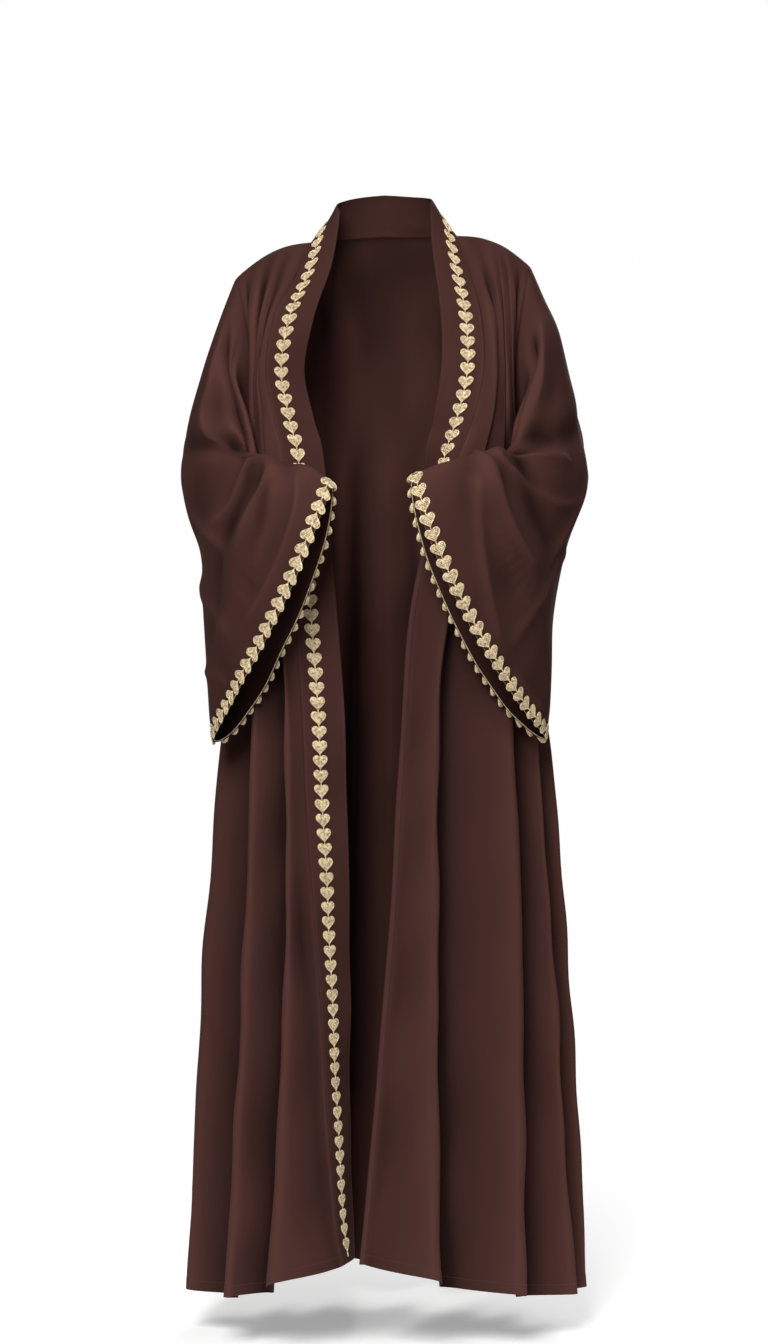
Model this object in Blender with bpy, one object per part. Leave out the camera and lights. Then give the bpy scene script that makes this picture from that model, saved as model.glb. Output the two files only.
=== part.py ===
"""Open-front abaya: flared body, wide bell sleeves, plain front band and heart trim."""

import bpy
import numpy as np
from collections import namedtuple
from mathutils.bvhtree import BVHTree

# Sizes in metres
WALL = 0.0018
SEAM_GAP = 0.0003
BAND_WIDTH = 0.057
FOLD_FROM = 0.003
FOLD_TO = 0.011
TRIM_LINE = 0.022
TRIM_THICK = 0.0013
TRIM_GAP = 0.0004
CHAIN_START = 0.001
CUFF_TRIM_LINE = 0.006
HEART_PITCH = 0.0196
HEART_HALF = 0.0110
LOBE_HALF = 0.0055
LINK_HALF = 0.0010
CLEFT_DEPTH = 0.0025
WIDEST_AT = 0.0055
HEM_CLEAR = 0.004
SHOULDER_CROWN = 0.013
ROUND_CORNER = 0.30
CUFF_BELLY = 0.38
BELLY_FROM = 4.0
RIM_ORDER = (0.31, 0.53, 0.79)
LIFT_STEP = 0.0001
LIFT_ROUNDS = 80
BAND_SAMPLES = 228

# Levels count down the garment: shoulder seam, underarm, hem
UNDERARM = 10
HEM = 19
NECK_STEPS = 4
STEPS_PER_FOLD = 4
FRONT_FOLDS = 4
BACK_FOLDS = 5
LOOP_STEPS = 20
CUFF = 7
LEFT, RIGHT = 1, -1

# Seam between band and panel from the centre back down to the hem, outward positive.
# lead: plan angle of the band, rise: its slope, under: how far it is turned under, degrees
# Columns: level, x, y, z, lead, rise, under
BAND = {
    LEFT: [
        (-4, 0.0000, 0.070, 0.004, -90, 78, 0),
        (-3, 0.0380, 0.065, 0.003, -67, 72, 0),
        (-2, 0.0707, 0.051, 0.002, -45, 66, 0),
        (-1, 0.0920, 0.030, 0.000, -22, 60, 0),
        (0, 0.1000, 0.005, -0.002, -3, 50, 0),
        (2, 0.1170, -0.045, -0.060, 10, 27, 0),
        (4, 0.1310, -0.085, -0.120, 10, 12, 0),
        (6, 0.1340, -0.118, -0.190, 6, 3, 0),
        (8, 0.1190, -0.142, -0.260, 24, 0, 0),
        (10, 0.0940, -0.155, -0.330, 40, 0, 8),
        (11, 0.0620, -0.151, -0.420, 24, 0, 96),
        (12, 0.0400, -0.146, -0.530, 4, 0, 168),
        (13, 0.0310, -0.146, -0.650, 0, 0, 172),
        (14, 0.0230, -0.150, -0.780, 0, 0, 172),
        (15, 0.0150, -0.155, -0.920, 0, 0, 172),
        (16, 0.0040, -0.160, -1.060, 0, 0, 170),
        (17, -0.0080, -0.165, -1.200, 0, 0, 168),
        (18, -0.0200, -0.170, -1.330, 0, 0, 165),
        (19, -0.0260, -0.174, -1.390, 0, 0, 162),
    ],
    RIGHT: [
        (-4, 0.0000, 0.070, 0.004, -90, 78, 0),
        (-3, 0.0380, 0.065, 0.001, -67, 72, 0),
        (-2, 0.0707, 0.051, -0.003, -45, 66, 0),
        (-1, 0.0920, 0.030, -0.007, -22, 60, 0),
        (0, 0.1000, 0.005, -0.011, -3, 48, 0),
        (2, 0.1220, -0.042, -0.066, 8, 24, 0),
        (4, 0.1480, -0.085, -0.120, 12, 8, 0),
        (6, 0.1590, -0.115, -0.190, 28, 0, 0),
        (8, 0.1480, -0.135, -0.260, 20, 0, 0),
        (10, 0.1340, -0.145, -0.330, 16, 0, 0),
        (11, 0.1270, -0.147, -0.420, 12, 0, 0),
        (12, 0.1190, -0.148, -0.530, 6, 0, 0),
        (13, 0.1100, -0.150, -0.650, 6, 0, 0),
        (14, 0.1040, -0.155, -0.780, 17, 0, 0),
        (15, 0.0940, -0.161, -0.920, 34, 0, 0),
        (16, 0.0840, -0.169, -1.060, 48, 0, 0),
        (17, 0.0755, -0.176, -1.200, 58, 0, 0),
        (18, 0.0640, -0.181, -1.330, 68, 0, 0),
        (19, 0.0550, -0.183, -1.390, 75, 0, 0),
    ],
}

# Side seam below the underarm, outward positive
# Columns: level, x, y, z
SIDE = [
    (11, 0.1860, 0.000, -0.410),
    (12, 0.1990, 0.000, -0.530),
    (13, 0.2110, 0.000, -0.650),
    (14, 0.2220, 0.000, -0.780),
    (15, 0.2330, 0.000, -0.920),
    (16, 0.2410, 0.000, -1.060),
    (17, 0.2480, 0.000, -1.200),
    (18, 0.2550, 0.000, -1.340),
    (19, 0.2610, 0.000, -1.452),
]
SIDE_WIDTH = {LEFT: 1.0, RIGHT: 0.976}

# Centre back from the neck seam to the hem
# Columns: level, y, z
CENTRE_BACK = [
    (0, 0.070, 0.004),
    (2, 0.098, -0.050),
    (4, 0.111, -0.115),
    (6, 0.117, -0.180),
    (8, 0.118, -0.245),
    (10, 0.116, -0.320),
    (11, 0.112, -0.415),
    (12, 0.116, -0.530),
    (13, 0.128, -0.650),
    (14, 0.138, -0.780),
    (15, 0.148, -0.920),
    (16, 0.158, -1.060),
    (17, 0.168, -1.200),
    (18, 0.178, -1.340),
    (19, 0.186, -1.458),
]

# Folds from the centre outwards: where each ends as a share of the width at chest, waist and
# hem, how far it stands out there, how far its crest leans outwards and how deep its valley is
Fold = namedtuple("Fold", "chest waist hem rise_chest rise_waist rise_hem lean sink")
FRONT_FOLDS_TABLE = {
    LEFT: [
        Fold(0.25, 0.175, 0.213, 0.004, 0.011, 0.026, 0.36, 0.004),
        Fold(0.50, 0.535, 0.485, 0.006, 0.014, 0.036, 0.34, 0.006),
        Fold(0.75, 0.775, 0.800, 0.007, 0.013, 0.032, 0.26, 0.004),
        Fold(1.00, 1.000, 1.000, 0.000, 0.010, 0.024, 0.14, 0.000),
    ],
    RIGHT: [
        Fold(0.27, 0.130, 0.265, 0.005, 0.009, 0.024, 0.36, 0.006),
        Fold(0.52, 0.400, 0.480, 0.006, 0.013, 0.034, 0.34, 0.005),
        Fold(0.76, 0.720, 0.740, 0.006, 0.012, 0.030, 0.28, 0.004),
        Fold(1.00, 1.000, 1.000, 0.000, 0.011, 0.026, 0.16, 0.000),
    ],
}
BACK_FOLDS_TABLE = {
    LEFT: [
        Fold(0.20, 0.21, 0.19, 0.0015, 0.010, 0.036, 0.10, 0.006),
        Fold(0.40, 0.39, 0.41, 0.0025, 0.013, 0.030, 0.18, 0.003),
        Fold(0.60, 0.61, 0.60, 0.0030, 0.012, 0.038, -0.08, 0.007),
        Fold(0.80, 0.79, 0.81, 0.0030, 0.010, 0.030, 0.14, 0.004),
        Fold(1.00, 1.00, 1.00, 0.0020, 0.008, 0.024, 0.08, 0.000),
    ],
    RIGHT: [
        Fold(0.20, 0.19, 0.22, 0.0015, 0.012, 0.030, 0.12, 0.005),
        Fold(0.40, 0.41, 0.39, 0.0025, 0.009, 0.038, -0.10, 0.007),
        Fold(0.60, 0.58, 0.61, 0.0030, 0.013, 0.032, 0.16, 0.004),
        Fold(0.80, 0.80, 0.79, 0.0030, 0.011, 0.034, 0.10, 0.005),
        Fold(1.00, 1.00, 1.00, 0.0020, 0.008, 0.022, 0.08, 0.000),
    ],
}
FOLD_LEVELS = (0, 4, 9, 12.5, 19)

# Loops round the sleeve from the armhole to the cuff, outward positive: the crook line on the
# inside of the elbow, the outer line, the elbow line below and the line facing the body
# Columns: loop, crook x y z, outer x y z, elbow x y z, body x y z
SLEEVE = {
    LEFT: [
        (0, 0.180, -0.056, -0.170, 0.200, 0.000, -0.045, 0.176, 0.060, -0.170, 0.180, 0.002, -0.300),
        (1, 0.197, -0.086, -0.200, 0.236, -0.015, -0.135, 0.206, 0.070, -0.235, 0.206, 0.000, -0.312),
        (2, 0.177, -0.120, -0.256, 0.262, -0.032, -0.235, 0.236, 0.062, -0.310, 0.214, -0.014, -0.342),
        (3, 0.165, -0.145, -0.300, 0.268, -0.065, -0.318, 0.246, 0.034, -0.390, 0.213, -0.038, -0.380),
        (4, 0.146, -0.174, -0.309, 0.237, -0.122, -0.380, 0.224, -0.008, -0.462, 0.191, -0.084, -0.414),
        (5, 0.112, -0.208, -0.316, 0.203, -0.184, -0.432, 0.221, -0.045, -0.548, 0.177, -0.122, -0.468),
        (6, 0.074, -0.235, -0.326, 0.158, -0.228, -0.482, 0.224, -0.080, -0.628, 0.142, -0.160, -0.510),
        (7, 0.036, -0.250, -0.344, 0.104, -0.255, -0.520, 0.219, -0.110, -0.690, 0.100, -0.182, -0.546),
    ],
    RIGHT: [
        (0, 0.178, -0.056, -0.186, 0.203, 0.000, -0.062, 0.173, 0.060, -0.186, 0.176, 0.002, -0.315),
        (1, 0.196, -0.086, -0.216, 0.235, -0.012, -0.150, 0.202, 0.070, -0.250, 0.203, 0.000, -0.327),
        (2, 0.180, -0.120, -0.268, 0.263, -0.030, -0.243, 0.237, 0.062, -0.322, 0.212, -0.014, -0.356),
        (3, 0.171, -0.145, -0.309, 0.269, -0.062, -0.316, 0.247, 0.034, -0.398, 0.213, -0.038, -0.391),
        (4, 0.150, -0.172, -0.318, 0.240, -0.120, -0.380, 0.230, -0.008, -0.468, 0.203, -0.078, -0.430),
        (5, 0.124, -0.205, -0.325, 0.213, -0.182, -0.437, 0.233, -0.045, -0.554, 0.184, -0.122, -0.474),
        (6, 0.096, -0.230, -0.331, 0.181, -0.228, -0.480, 0.236, -0.080, -0.632, 0.156, -0.160, -0.515),
        (7, 0.066, -0.245, -0.350, 0.136, -0.255, -0.518, 0.230, -0.117, -0.692, 0.126, -0.187, -0.554),
    ],
}

# Large creases of the sleeve, each a bow through three points (turn round the loop, loop)
Crease = namedtuple("Crease", "turn_1 loop_1 turn_2 loop_2 turn_3 loop_3 width height")
CREASES = {
    LEFT: [
        Crease(0.20, 3.2, 0.08, 4.4, 0.90, 4.6, 0.024, -0.008),
        Crease(0.21, 3.8, 0.12, 5.4, 0.92, 5.6, 0.022, 0.009),
        Crease(0.20, 2.7, 0.06, 2.6, 0.94, 2.0, 0.022, -0.008),
    ],
    RIGHT: [
        Crease(0.20, 3.2, 0.08, 4.5, 0.90, 4.8, 0.024, -0.008),
        Crease(0.21, 3.8, 0.12, 5.6, 0.93, 6.0, 0.022, 0.009),
        Crease(0.20, 2.8, 0.06, 2.8, 0.94, 2.2, 0.022, -0.008),
    ],
}
LOOP_REACH = 0.085

BAND_STATIONS = (0.0, FOLD_FROM, 0.0057, 0.0083, FOLD_TO, 0.034, BAND_WIDTH)
SLEEVE_LOOPS = (0, 0.4, 0.9, 1.4, 1.9, 2.4, 2.9, 3.4, 3.9, 4.4, 4.9, 5.4, 5.9, 6.4, 7)

CREPE = ("dark_brown_crepe", (0.068, 0.030, 0.025, 1.0), 0.82, 0.0)
GOLD = ("champagne_gold_trim", (0.640, 0.500, 0.270, 1.0), 0.42, 0.55)


def follow(table, levels):
    """Smooth values of a table's columns at any levels; the first column is the level."""
    rows = np.array(table, dtype=float)
    known, values = rows[:, 0], rows[:, 1:]
    slopes = np.gradient(values, known, axis=0)
    levels = np.asarray(levels, dtype=float)
    low = np.clip(np.searchsorted(known, levels, side="right") - 1, 0, len(known) - 2)
    step = (known[low + 1] - known[low])[:, None]
    t = ((levels - known[low]) / step[:, 0])[:, None]
    start = (1 + 2 * t) * (1 - t) ** 2 * values[low] + t * (1 - t) ** 2 * step * slopes[low]
    end = t * t * (3 - 2 * t) * values[low + 1] + t * t * (t - 1) * step * slopes[low + 1]
    return start + end


def ease(t):
    """Smooth step from 0 to 1."""
    t = np.clip(t, 0.0, 1.0)
    return t * t * (3 - 2 * t)


def unit(vectors):
    """Vectors at length one."""
    return vectors / np.linalg.norm(vectors, axis=-1, keepdims=True)


def mirrored(points, side):
    """Points with outward positive x put on the given side."""
    return points * np.array([side, 1.0, 1.0])


def sleeve_base(side, loops, turns):
    """Sleeve surface without creases, outward positive: rows of loops, columns of turns."""
    rows = follow(SLEEVE[side], loops).reshape(len(loops), 1, 4, 3)
    crook, outer, elbow, body = (rows[:, :, i] for i in range(4))
    angle = 2 * np.pi * np.asarray(turns, dtype=float)[None, :, None]
    across, along = np.cos(angle), np.sin(angle)
    soft = np.sqrt(across ** 2 + ROUND_CORNER ** 2)
    fix = ROUND_CORNER / 2 * along ** 2
    middle = (crook + elbow) / 2
    belly = CUFF_BELLY * ease((np.asarray(loops) - BELLY_FROM) / (CUFF - BELLY_FROM))[:, None, None]
    return (middle + (crook - elbow) / 2 * along
            + (outer - middle) * ((soft + across) / 2 - fix)
            + (body - middle) * ((soft - across) / 2 - fix)
            + (outer - body) / 2 * across * np.maximum(-along, 0.0) * belly)


def crease_height(crease, loops, turns):
    """Height of one crease over the sleeve's surface."""
    loop, turn = np.meshgrid(loops, turns, indexing="ij")
    turn = (turn + 0.5) % 1.0 - 0.5
    ends = [(crease.turn_1, crease.loop_1), (crease.turn_2, crease.loop_2), (crease.turn_3, crease.loop_3)]
    ends = [((a + 0.5) % 1.0 - 0.5, b) for a, b in ends]
    girth = 0.62 + 0.045 * loop
    nearest = np.full(loop.shape, np.inf)
    place = np.zeros(loop.shape)
    for t in np.linspace(0.0, 1.0, 33):
        weights = ((1 - t) * (1 - 2 * t), 4 * t * (1 - t), t * (2 * t - 1))
        at = sum(w * e[0] for w, e in zip(weights, ends))
        on = sum(w * e[1] for w, e in zip(weights, ends))
        away = np.hypot((turn - at) * girth, (loop - on) * LOOP_REACH)
        place = np.where(away < nearest, t, place)
        nearest = np.minimum(nearest, away)
    taper = ease(place / 0.2 + 0.25) * ease((1 - place) / 0.35)
    return crease.height * np.exp(-(nearest / crease.width) ** 2) * taper


def sleeve_grid(side, loops, turns):
    """Sleeve surface with its creases."""
    loops = np.asarray(loops, dtype=float)
    turns = np.asarray(turns, dtype=float)
    step = 1e-3
    base = sleeve_base(side, loops, turns)
    round_way = sleeve_base(side, loops, turns + step) - sleeve_base(side, loops, turns - step)
    down_way = (sleeve_base(side, np.minimum(loops + step, CUFF), turns)
                - sleeve_base(side, np.maximum(loops - step, 0), turns))
    out = unit(np.cross(round_way, down_way))
    height = sum(crease_height(crease, loops, turns) for crease in CREASES[side])
    height = height * ease(loops / 1.2)[:, None] * ease((CUFF + 0.3 - loops) / 1.2)[:, None]
    return mirrored(base + out * height[:, :, None], side)


def armhole(side, turns):
    """Armhole seam, outward positive."""
    return sleeve_base(side, np.zeros(1), turns)[0]


def side_line(side, levels, turn_sign):
    """Outer end of each body row: armhole above the underarm, side seam below."""
    levels = np.asarray(levels, dtype=float)
    under = armhole(side, [0.5])[0]
    lower = [(level, x * SIDE_WIDTH[side], y, z) for level, x, y, z in SIDE]
    seam = follow([(UNDERARM, *under)] + lower, np.maximum(levels, UNDERARM))
    hole = armhole(side, turn_sign * np.minimum(levels, UNDERARM) / (2 * UNDERARM))
    return np.where((levels < UNDERARM)[:, None], hole, seam)


def fold_values(folds, levels):
    """Ends, heights, leans and valley depths of the folds at each level."""
    count = len(folds)
    ends = np.zeros((len(levels), count + 1))
    rises = np.zeros((len(levels), count))
    sinks = np.zeros((len(levels), count + 1))
    for i, fold in enumerate(folds):
        even = (i + 1) / count
        shares = list(zip(FOLD_LEVELS, (even, fold.chest, fold.chest, fold.waist, fold.hem)))
        ends[:, i + 1] = follow(shares, levels)[:, 0]
        heights = (0.0, fold.rise_chest, fold.rise_chest, fold.rise_waist, fold.rise_hem)
        rises[:, i] = follow(list(zip(FOLD_LEVELS, heights)), levels)[:, 0]
        sinks[:, i + 1] = fold.sink * ease((levels - UNDERARM) / (HEM - UNDERARM))
    return ends, rises, sinks


def body_rows(side, levels, steps, folds, inner, outer, start, facing):
    """Rows of a body panel: a base arc from the inner to the outer line, with its folds."""
    count = len(folds)
    ends, rises, sinks = fold_values(folds, levels)
    which = np.clip((steps / STEPS_PER_FOLD).astype(int), 0, count - 1)
    phase = steps / STEPS_PER_FOLD - which
    share = ends[:, which] + (ends[:, which + 1] - ends[:, which]) * phase
    roundness = ease(levels / UNDERARM)[:, None]
    over = share + (np.sin(np.pi / 2 * share) - share) * roundness
    back = share + (1 - np.cos(np.pi / 2 * share) - share) * roundness
    power = 1.0 + 0.6 * ease((levels - UNDERARM) / (HEM - UNDERARM))[:, None]
    down = 1 - (1 - over) ** power
    mix = np.stack([over, back, down], axis=-1)
    base = inner[:, None] + (outer - inner)[:, None] * mix
    fade = 1 - ease(levels / 5.0)
    base = base + fade[:, None, None] * (start - base[0])[None]
    along = np.gradient(base[:, :, :2], axis=1)
    along = unit(along + 1e-12)
    out = np.stack([along[:, :, 1], -along[:, :, 0]], axis=-1) * facing
    wave = 0.5 - 0.5 * np.cos(2 * np.pi * phase)
    sink = sinks[:, which] + (sinks[:, which + 1] - sinks[:, which]) * ease(phase)
    height = rises[:, which] * wave - sink
    reach = np.linalg.norm((outer - inner)[:, :2], axis=-1)[:, None]
    width = (ends[:, which + 1] - ends[:, which]) * reach * 1.1
    lean = np.array([fold.lean for fold in folds])[which]
    shift = lean * width * wave * ease(levels / UNDERARM)[:, None]
    moved = base.copy()
    moved[:, :, :2] += out * height[:, :, None] + along * shift[:, :, None]
    return moved


def shoulder(side, shares):
    """Shoulder seam from the neck to the armhole, outward positive."""
    neck = follow(BAND[side], [0.0])[0, :3]
    tip = armhole(side, [0.0])[0]
    shares = np.asarray(shares, dtype=float)[:, None]
    line = neck + (tip - neck) * shares
    line[:, 2] += SHOULDER_CROWN * np.sin(np.pi * shares[:, 0])
    return line


def front_grid(side, levels, steps):
    """Front panel: rows from the shoulder seam to the hem, columns from band to side."""
    levels = np.asarray(levels, dtype=float)
    steps = np.asarray(steps, dtype=float)
    inner = follow(BAND[side], levels)[:, :3]
    outer = side_line(side, levels, 1.0)
    start = shoulder(side, steps / (FRONT_FOLDS * STEPS_PER_FOLD))
    rows = body_rows(side, levels, steps, FRONT_FOLDS_TABLE[side], inner, outer, start, 1)
    return mirrored(rows, side)


def back_half(side, levels, steps):
    """Half of the back: columns from the centre back out to the side."""
    levels = np.asarray(levels, dtype=float)
    steps = np.asarray(steps, dtype=float)
    centre = follow(CENTRE_BACK, levels)
    inner = np.column_stack([np.zeros(len(levels)), centre])
    outer = side_line(side, levels, -1.0)
    neck = follow(BAND[side], np.minimum(steps - NECK_STEPS, 0.0))[:, :3]
    shares = (steps - NECK_STEPS) / (BACK_FOLDS * STEPS_PER_FOLD - NECK_STEPS)
    start = np.where((steps <= NECK_STEPS)[:, None], neck, shoulder(side, np.maximum(shares, 0.0)))
    rows = body_rows(side, levels, steps, BACK_FOLDS_TABLE[side], inner, outer, start, -1)
    return mirrored(rows, side)


def back_grid(levels, steps):
    """Whole back from the right side to the left side."""
    left = back_half(LEFT, levels, steps)
    right = back_half(RIGHT, levels, steps)
    return np.concatenate([right[:, :0:-1], left], axis=1)


def band_grid(side, levels, stations):
    """Front band: rows from the centre back to the hem, columns from the seam to the free edge."""
    rows = follow(BAND[side], levels)
    seam = rows[:, :3]
    lead, rise, under = (np.radians(rows[:, i]) for i in (3, 4, 5))
    fine = np.linspace(0.0, BAND_WIDTH, BAND_SAMPLES + 1)
    middle = (fine[1:] + fine[:-1]) / 2
    turned = under[:, None] * ease((middle - FOLD_FROM) / (FOLD_TO - FOLD_FROM))
    plan = lead[:, None] + turned
    flat = np.cos(rise)[:, None]
    ways = np.stack([-np.cos(plan) * flat, np.sin(plan) * flat, np.sin(rise)[:, None] + 0 * plan], axis=-1)
    path = np.cumsum(ways * np.diff(fine)[None, :, None], axis=1)
    path = np.concatenate([np.zeros((len(levels), 1, 3)), path], axis=1)
    places = np.asarray(stations) / BAND_WIDTH * (len(fine) - 1)
    low = np.clip(places.astype(int), 0, len(fine) - 2)
    part = (places - low)[None, :, None]
    points = seam[:, None] + path[:, low] * (1 - part) + path[:, low + 1] * part
    return mirrored(points, side)


def grid_normals(grid, facing, ring):
    """Unit normals of a grid of points, averaged over the cells that meet."""
    around = np.concatenate([grid, grid[:, :1]], axis=1) if ring else grid
    one = around[1:, 1:] - around[:-1, :-1]
    two = around[1:, :-1] - around[:-1, 1:]
    cells = unit(np.cross(one, two)) * facing
    total = np.zeros(around.shape)
    for rows in (slice(0, -1), slice(1, None)):
        for cols in (slice(0, -1), slice(1, None)):
            total[rows, cols] += cells
    if ring:
        total[:, 0] += total[:, -1]
        total = total[:, :-1]
    return unit(total)


Cloth = namedtuple("Cloth", "name grid facing ring group seams")


def place_key(point):
    """Key under which points of joined pieces meet."""
    return tuple(int(round(value * 1e5)) for value in point)


def shared_normals(cloths):
    """Normals of every piece, one shared value where pieces meet at a seam."""
    groups = {}
    for cloth in cloths:
        own = grid_normals(cloth.grid, cloth.facing, cloth.ring)
        for point, normal in zip(cloth.grid.reshape(-1, 3), own.reshape(-1, 3)):
            at = groups.setdefault(place_key(point), {})
            at[cloth.group] = at.get(cloth.group, np.zeros(3)) + normal
    shared = {}
    for key, at in groups.items():
        shared[key] = unit(sum(unit(total) for total in at.values()))
    return shared


def pulled(cloth, normals):
    """Grid with its seam edges drawn back by half the seam gap, square to the seam."""
    grid = cloth.grid
    moved = grid.copy()
    pairs = {"top": ((0,), (1,)), "first": ((slice(None), 0), (slice(None), 1)),
             "last": ((slice(None), -1), (slice(None), -2))}
    for seam in cloth.seams:
        edge, inside = pairs[seam]
        line = grid[edge]
        if cloth.ring:
            run = np.roll(line, -1, axis=0) - np.roll(line, 1, axis=0)
        else:
            run = np.gradient(line, axis=0)
        way = grid[inside] - line
        across = unit(np.cross(run, normals[edge]))
        away = np.sign(np.sum(way * across, axis=-1, keepdims=True))
        moved[edge] += across * away * SEAM_GAP / 2
    return moved


def wrap(points, faces, thickness):
    """Close a sheet of outer faces with inner faces and rims."""
    count = len(points)
    used = {}
    for a, b, c in faces:
        for edge in ((a, b), (b, c), (c, a)):
            used[edge] = True
    closed = list(faces) + [(c + count, b + count, a + count) for a, b, c in faces]
    order = points @ np.array(RIM_ORDER)
    for a, b in used:
        if (b, a) in used:
            continue
        if order[a] < order[b]:
            closed += [(b, a, b + count), (a, a + count, b + count)]
        else:
            closed += [(b, a, a + count), (b, a + count, b + count)]
    return np.concatenate([points, points - thickness]), closed


def make_object(name, vertices, faces, look):
    """Object from vertices and triangles with its own material."""
    mesh = bpy.data.meshes.new(name)
    mesh.from_pydata([tuple(map(float, v)) for v in vertices], [], [tuple(map(int, f)) for f in faces])
    mesh.update()
    thing = bpy.data.objects.new(name, mesh)
    bpy.context.collection.objects.link(thing)
    title, colour, roughness, metallic = look
    material = bpy.data.materials.new(name + "_" + title)
    material.use_nodes = True
    shader = material.node_tree.nodes["Principled BSDF"]
    shader.inputs["Base Color"].default_value = colour
    shader.inputs["Roughness"].default_value = roughness
    shader.inputs["Metallic"].default_value = metallic
    mesh.materials.append(material)
    return thing


def cell_faces(rows, cols, facing, ring):
    """Two triangles for every cell of a grid."""
    faces = []
    for r in range(rows - 1):
        for c in range(cols if ring else cols - 1):
            n = (c + 1) % cols
            a, b, d, e = r * cols + c, r * cols + n, (r + 1) * cols + n, (r + 1) * cols + c
            faces += [(a, b, d), (a, d, e)] if facing > 0 else [(a, d, b), (a, e, d)]
    return faces


def make_cloth(cloth, shared):
    """Solid wall of one piece of cloth."""
    shape = cloth.grid.shape
    normals = np.array([shared[place_key(p)] for p in cloth.grid.reshape(-1, 3)]).reshape(shape)
    points = pulled(cloth, normals)
    outer = (points + normals * WALL / 2).reshape(-1, 3)
    faces = cell_faces(shape[0], shape[1], cloth.facing, cloth.ring)
    vertices, faces = wrap(outer, faces, normals.reshape(-1, 3) * WALL)
    make_object(cloth.name, vertices, faces, CREPE)
    return normals


def facet_point(values, row, col, down, over):
    """Values on the two flat faces of a cell, down and over being shares of the cell."""
    a, b = values[row, col], values[row, col + 1]
    d, e = values[row + 1, col + 1], values[row + 1, col]
    down, over = down[:, None], over[:, None]
    upper = a + (b - a) * over + (d - b) * down
    lower = a + (e - a) * down + (d - e) * over
    return np.where(over > down, upper, lower)


def chain_surface(outer, normals, columns, closed, middle):
    """Faces under a chain: point and normal at a length along it and a distance across it."""
    rows = np.linspace(0.0, outer.shape[0] - 1, 40 * (outer.shape[0] - 1) + 1)

    def on_rows(row, across):
        r = np.clip(row.astype(int), 0, outer.shape[0] - 2)
        col, over = columns(r, row - r, across)
        return (facet_point(outer, r, col, row - r, over),
                unit(facet_point(normals, r, col, row - r, over)))
    line = on_rows(rows, np.full(len(rows), middle))[0]
    length = np.concatenate([[0.0], np.cumsum(np.linalg.norm(np.diff(line, axis=0), axis=1))])
    total = length[-1]

    def at(along, across):
        place = along % total if closed else np.clip(along, 0.0, total)
        return on_rows(np.interp(place, length, rows), middle + across)
    return at, total


def band_columns(stations):
    """Column and share of the column at distances from the band's seam."""
    stations = np.asarray(stations)

    def find(row, down, across):
        col = np.clip(np.searchsorted(stations, across, side="right") - 1, 0, len(stations) - 2)
        return col, (across - stations[col]) / (stations[col + 1] - stations[col])
    return find


def cuff_columns(strip, edge_first):
    """Column and share of the column at distances from the cuff's edge."""
    width = np.linalg.norm(strip[:, 1] - strip[:, 0], axis=-1)

    def find(row, down, across):
        share = across / (width[row] + (width[row + 1] - width[row]) * down)
        return np.zeros(len(row), dtype=int), share if edge_first else 1.0 - share
    return find


def heart_outline(starts, closed):
    """Along and across positions of a chain of hearts, three pairs of corners to each heart."""
    corners = [(CLEFT_DEPTH, LINK_HALF), (0.0, LOBE_HALF), (WIDEST_AT, HEART_HALF)]
    along, across = [], []
    for start in starts:
        for offset, half in corners:
            along += [start + offset, start + offset]
            across += [-half, half]
    if not closed:
        along += [starts[-1] + HEART_PITCH] * 2
        across += [-LINK_HALF, LINK_HALF]
    return np.array(along), np.array(across)


def heart_faces(count, closed):
    """Triangles of the hearts' upper face; each tip ends in the next heart's cleft."""
    faces = []
    total = 6 * count if closed else 6 * count + 2
    for i in range(count):
        cl, cr, ll, lr, wl, wr, tl, tr = [(6 * i + k) % total for k in range(8)]
        faces += [(cl, wl, ll), (cl, tl, wl), (cl, cr, tr), (cl, tr, tl), (cr, lr, wr), (cr, wr, tr)]
    return faces


def chain_lift(cloth, points, normals, faces):
    """How far each corner of a chain must rise so that its faces clear the cloth."""
    mesh = bpy.data.objects[cloth].data
    under = BVHTree.FromPolygons([v.co for v in mesh.vertices], [tuple(f.vertices) for f in mesh.polygons])
    lift = np.zeros(len(points))
    for _ in range(LIFT_ROUNDS):
        raised = points + normals * (lift + LIFT_STEP)[:, None]
        chain = BVHTree.FromPolygons([tuple(map(float, p)) for p in raised], faces)
        hit = sorted({i for i, _ in chain.overlap(under)})
        if not hit:
            break
        lift[sorted({corner for i in hit for corner in faces[i]})] += LIFT_STEP
    return lift


def make_chain(name, cloth, surface, starts, closed):
    """Solid heart chain lying just off the faces of its cloth."""
    at, total = surface
    along, across = heart_outline(starts, closed)
    faces = heart_faces(len(starts), closed)
    points, normals = at(along, across)
    lift = chain_lift(cloth, points, normals, faces)
    tops = points + normals * (TRIM_GAP + TRIM_THICK + lift)[:, None]
    a, b, c = (tops[i] for i in faces[0])
    if np.dot(np.cross(b - a, c - a), normals[0]) < 0:
        faces = [(p, r, q) for p, q, r in faces]
    vertices, faces = wrap(tops, faces, normals * TRIM_THICK)
    make_object(name, vertices, faces, GOLD)


def make_band_trim(name, cloth, normals):
    """Heart chain along the front band from the centre back of the neck to the hem."""
    outer = cloth.grid + normals * WALL / 2
    surface = chain_surface(outer, normals, band_columns(BAND_STATIONS), False, TRIM_LINE)
    count = int((surface[1] - HEM_CLEAR) / HEART_PITCH)
    make_chain(name, cloth.name, surface, CHAIN_START + HEART_PITCH * np.arange(count), False)


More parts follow.
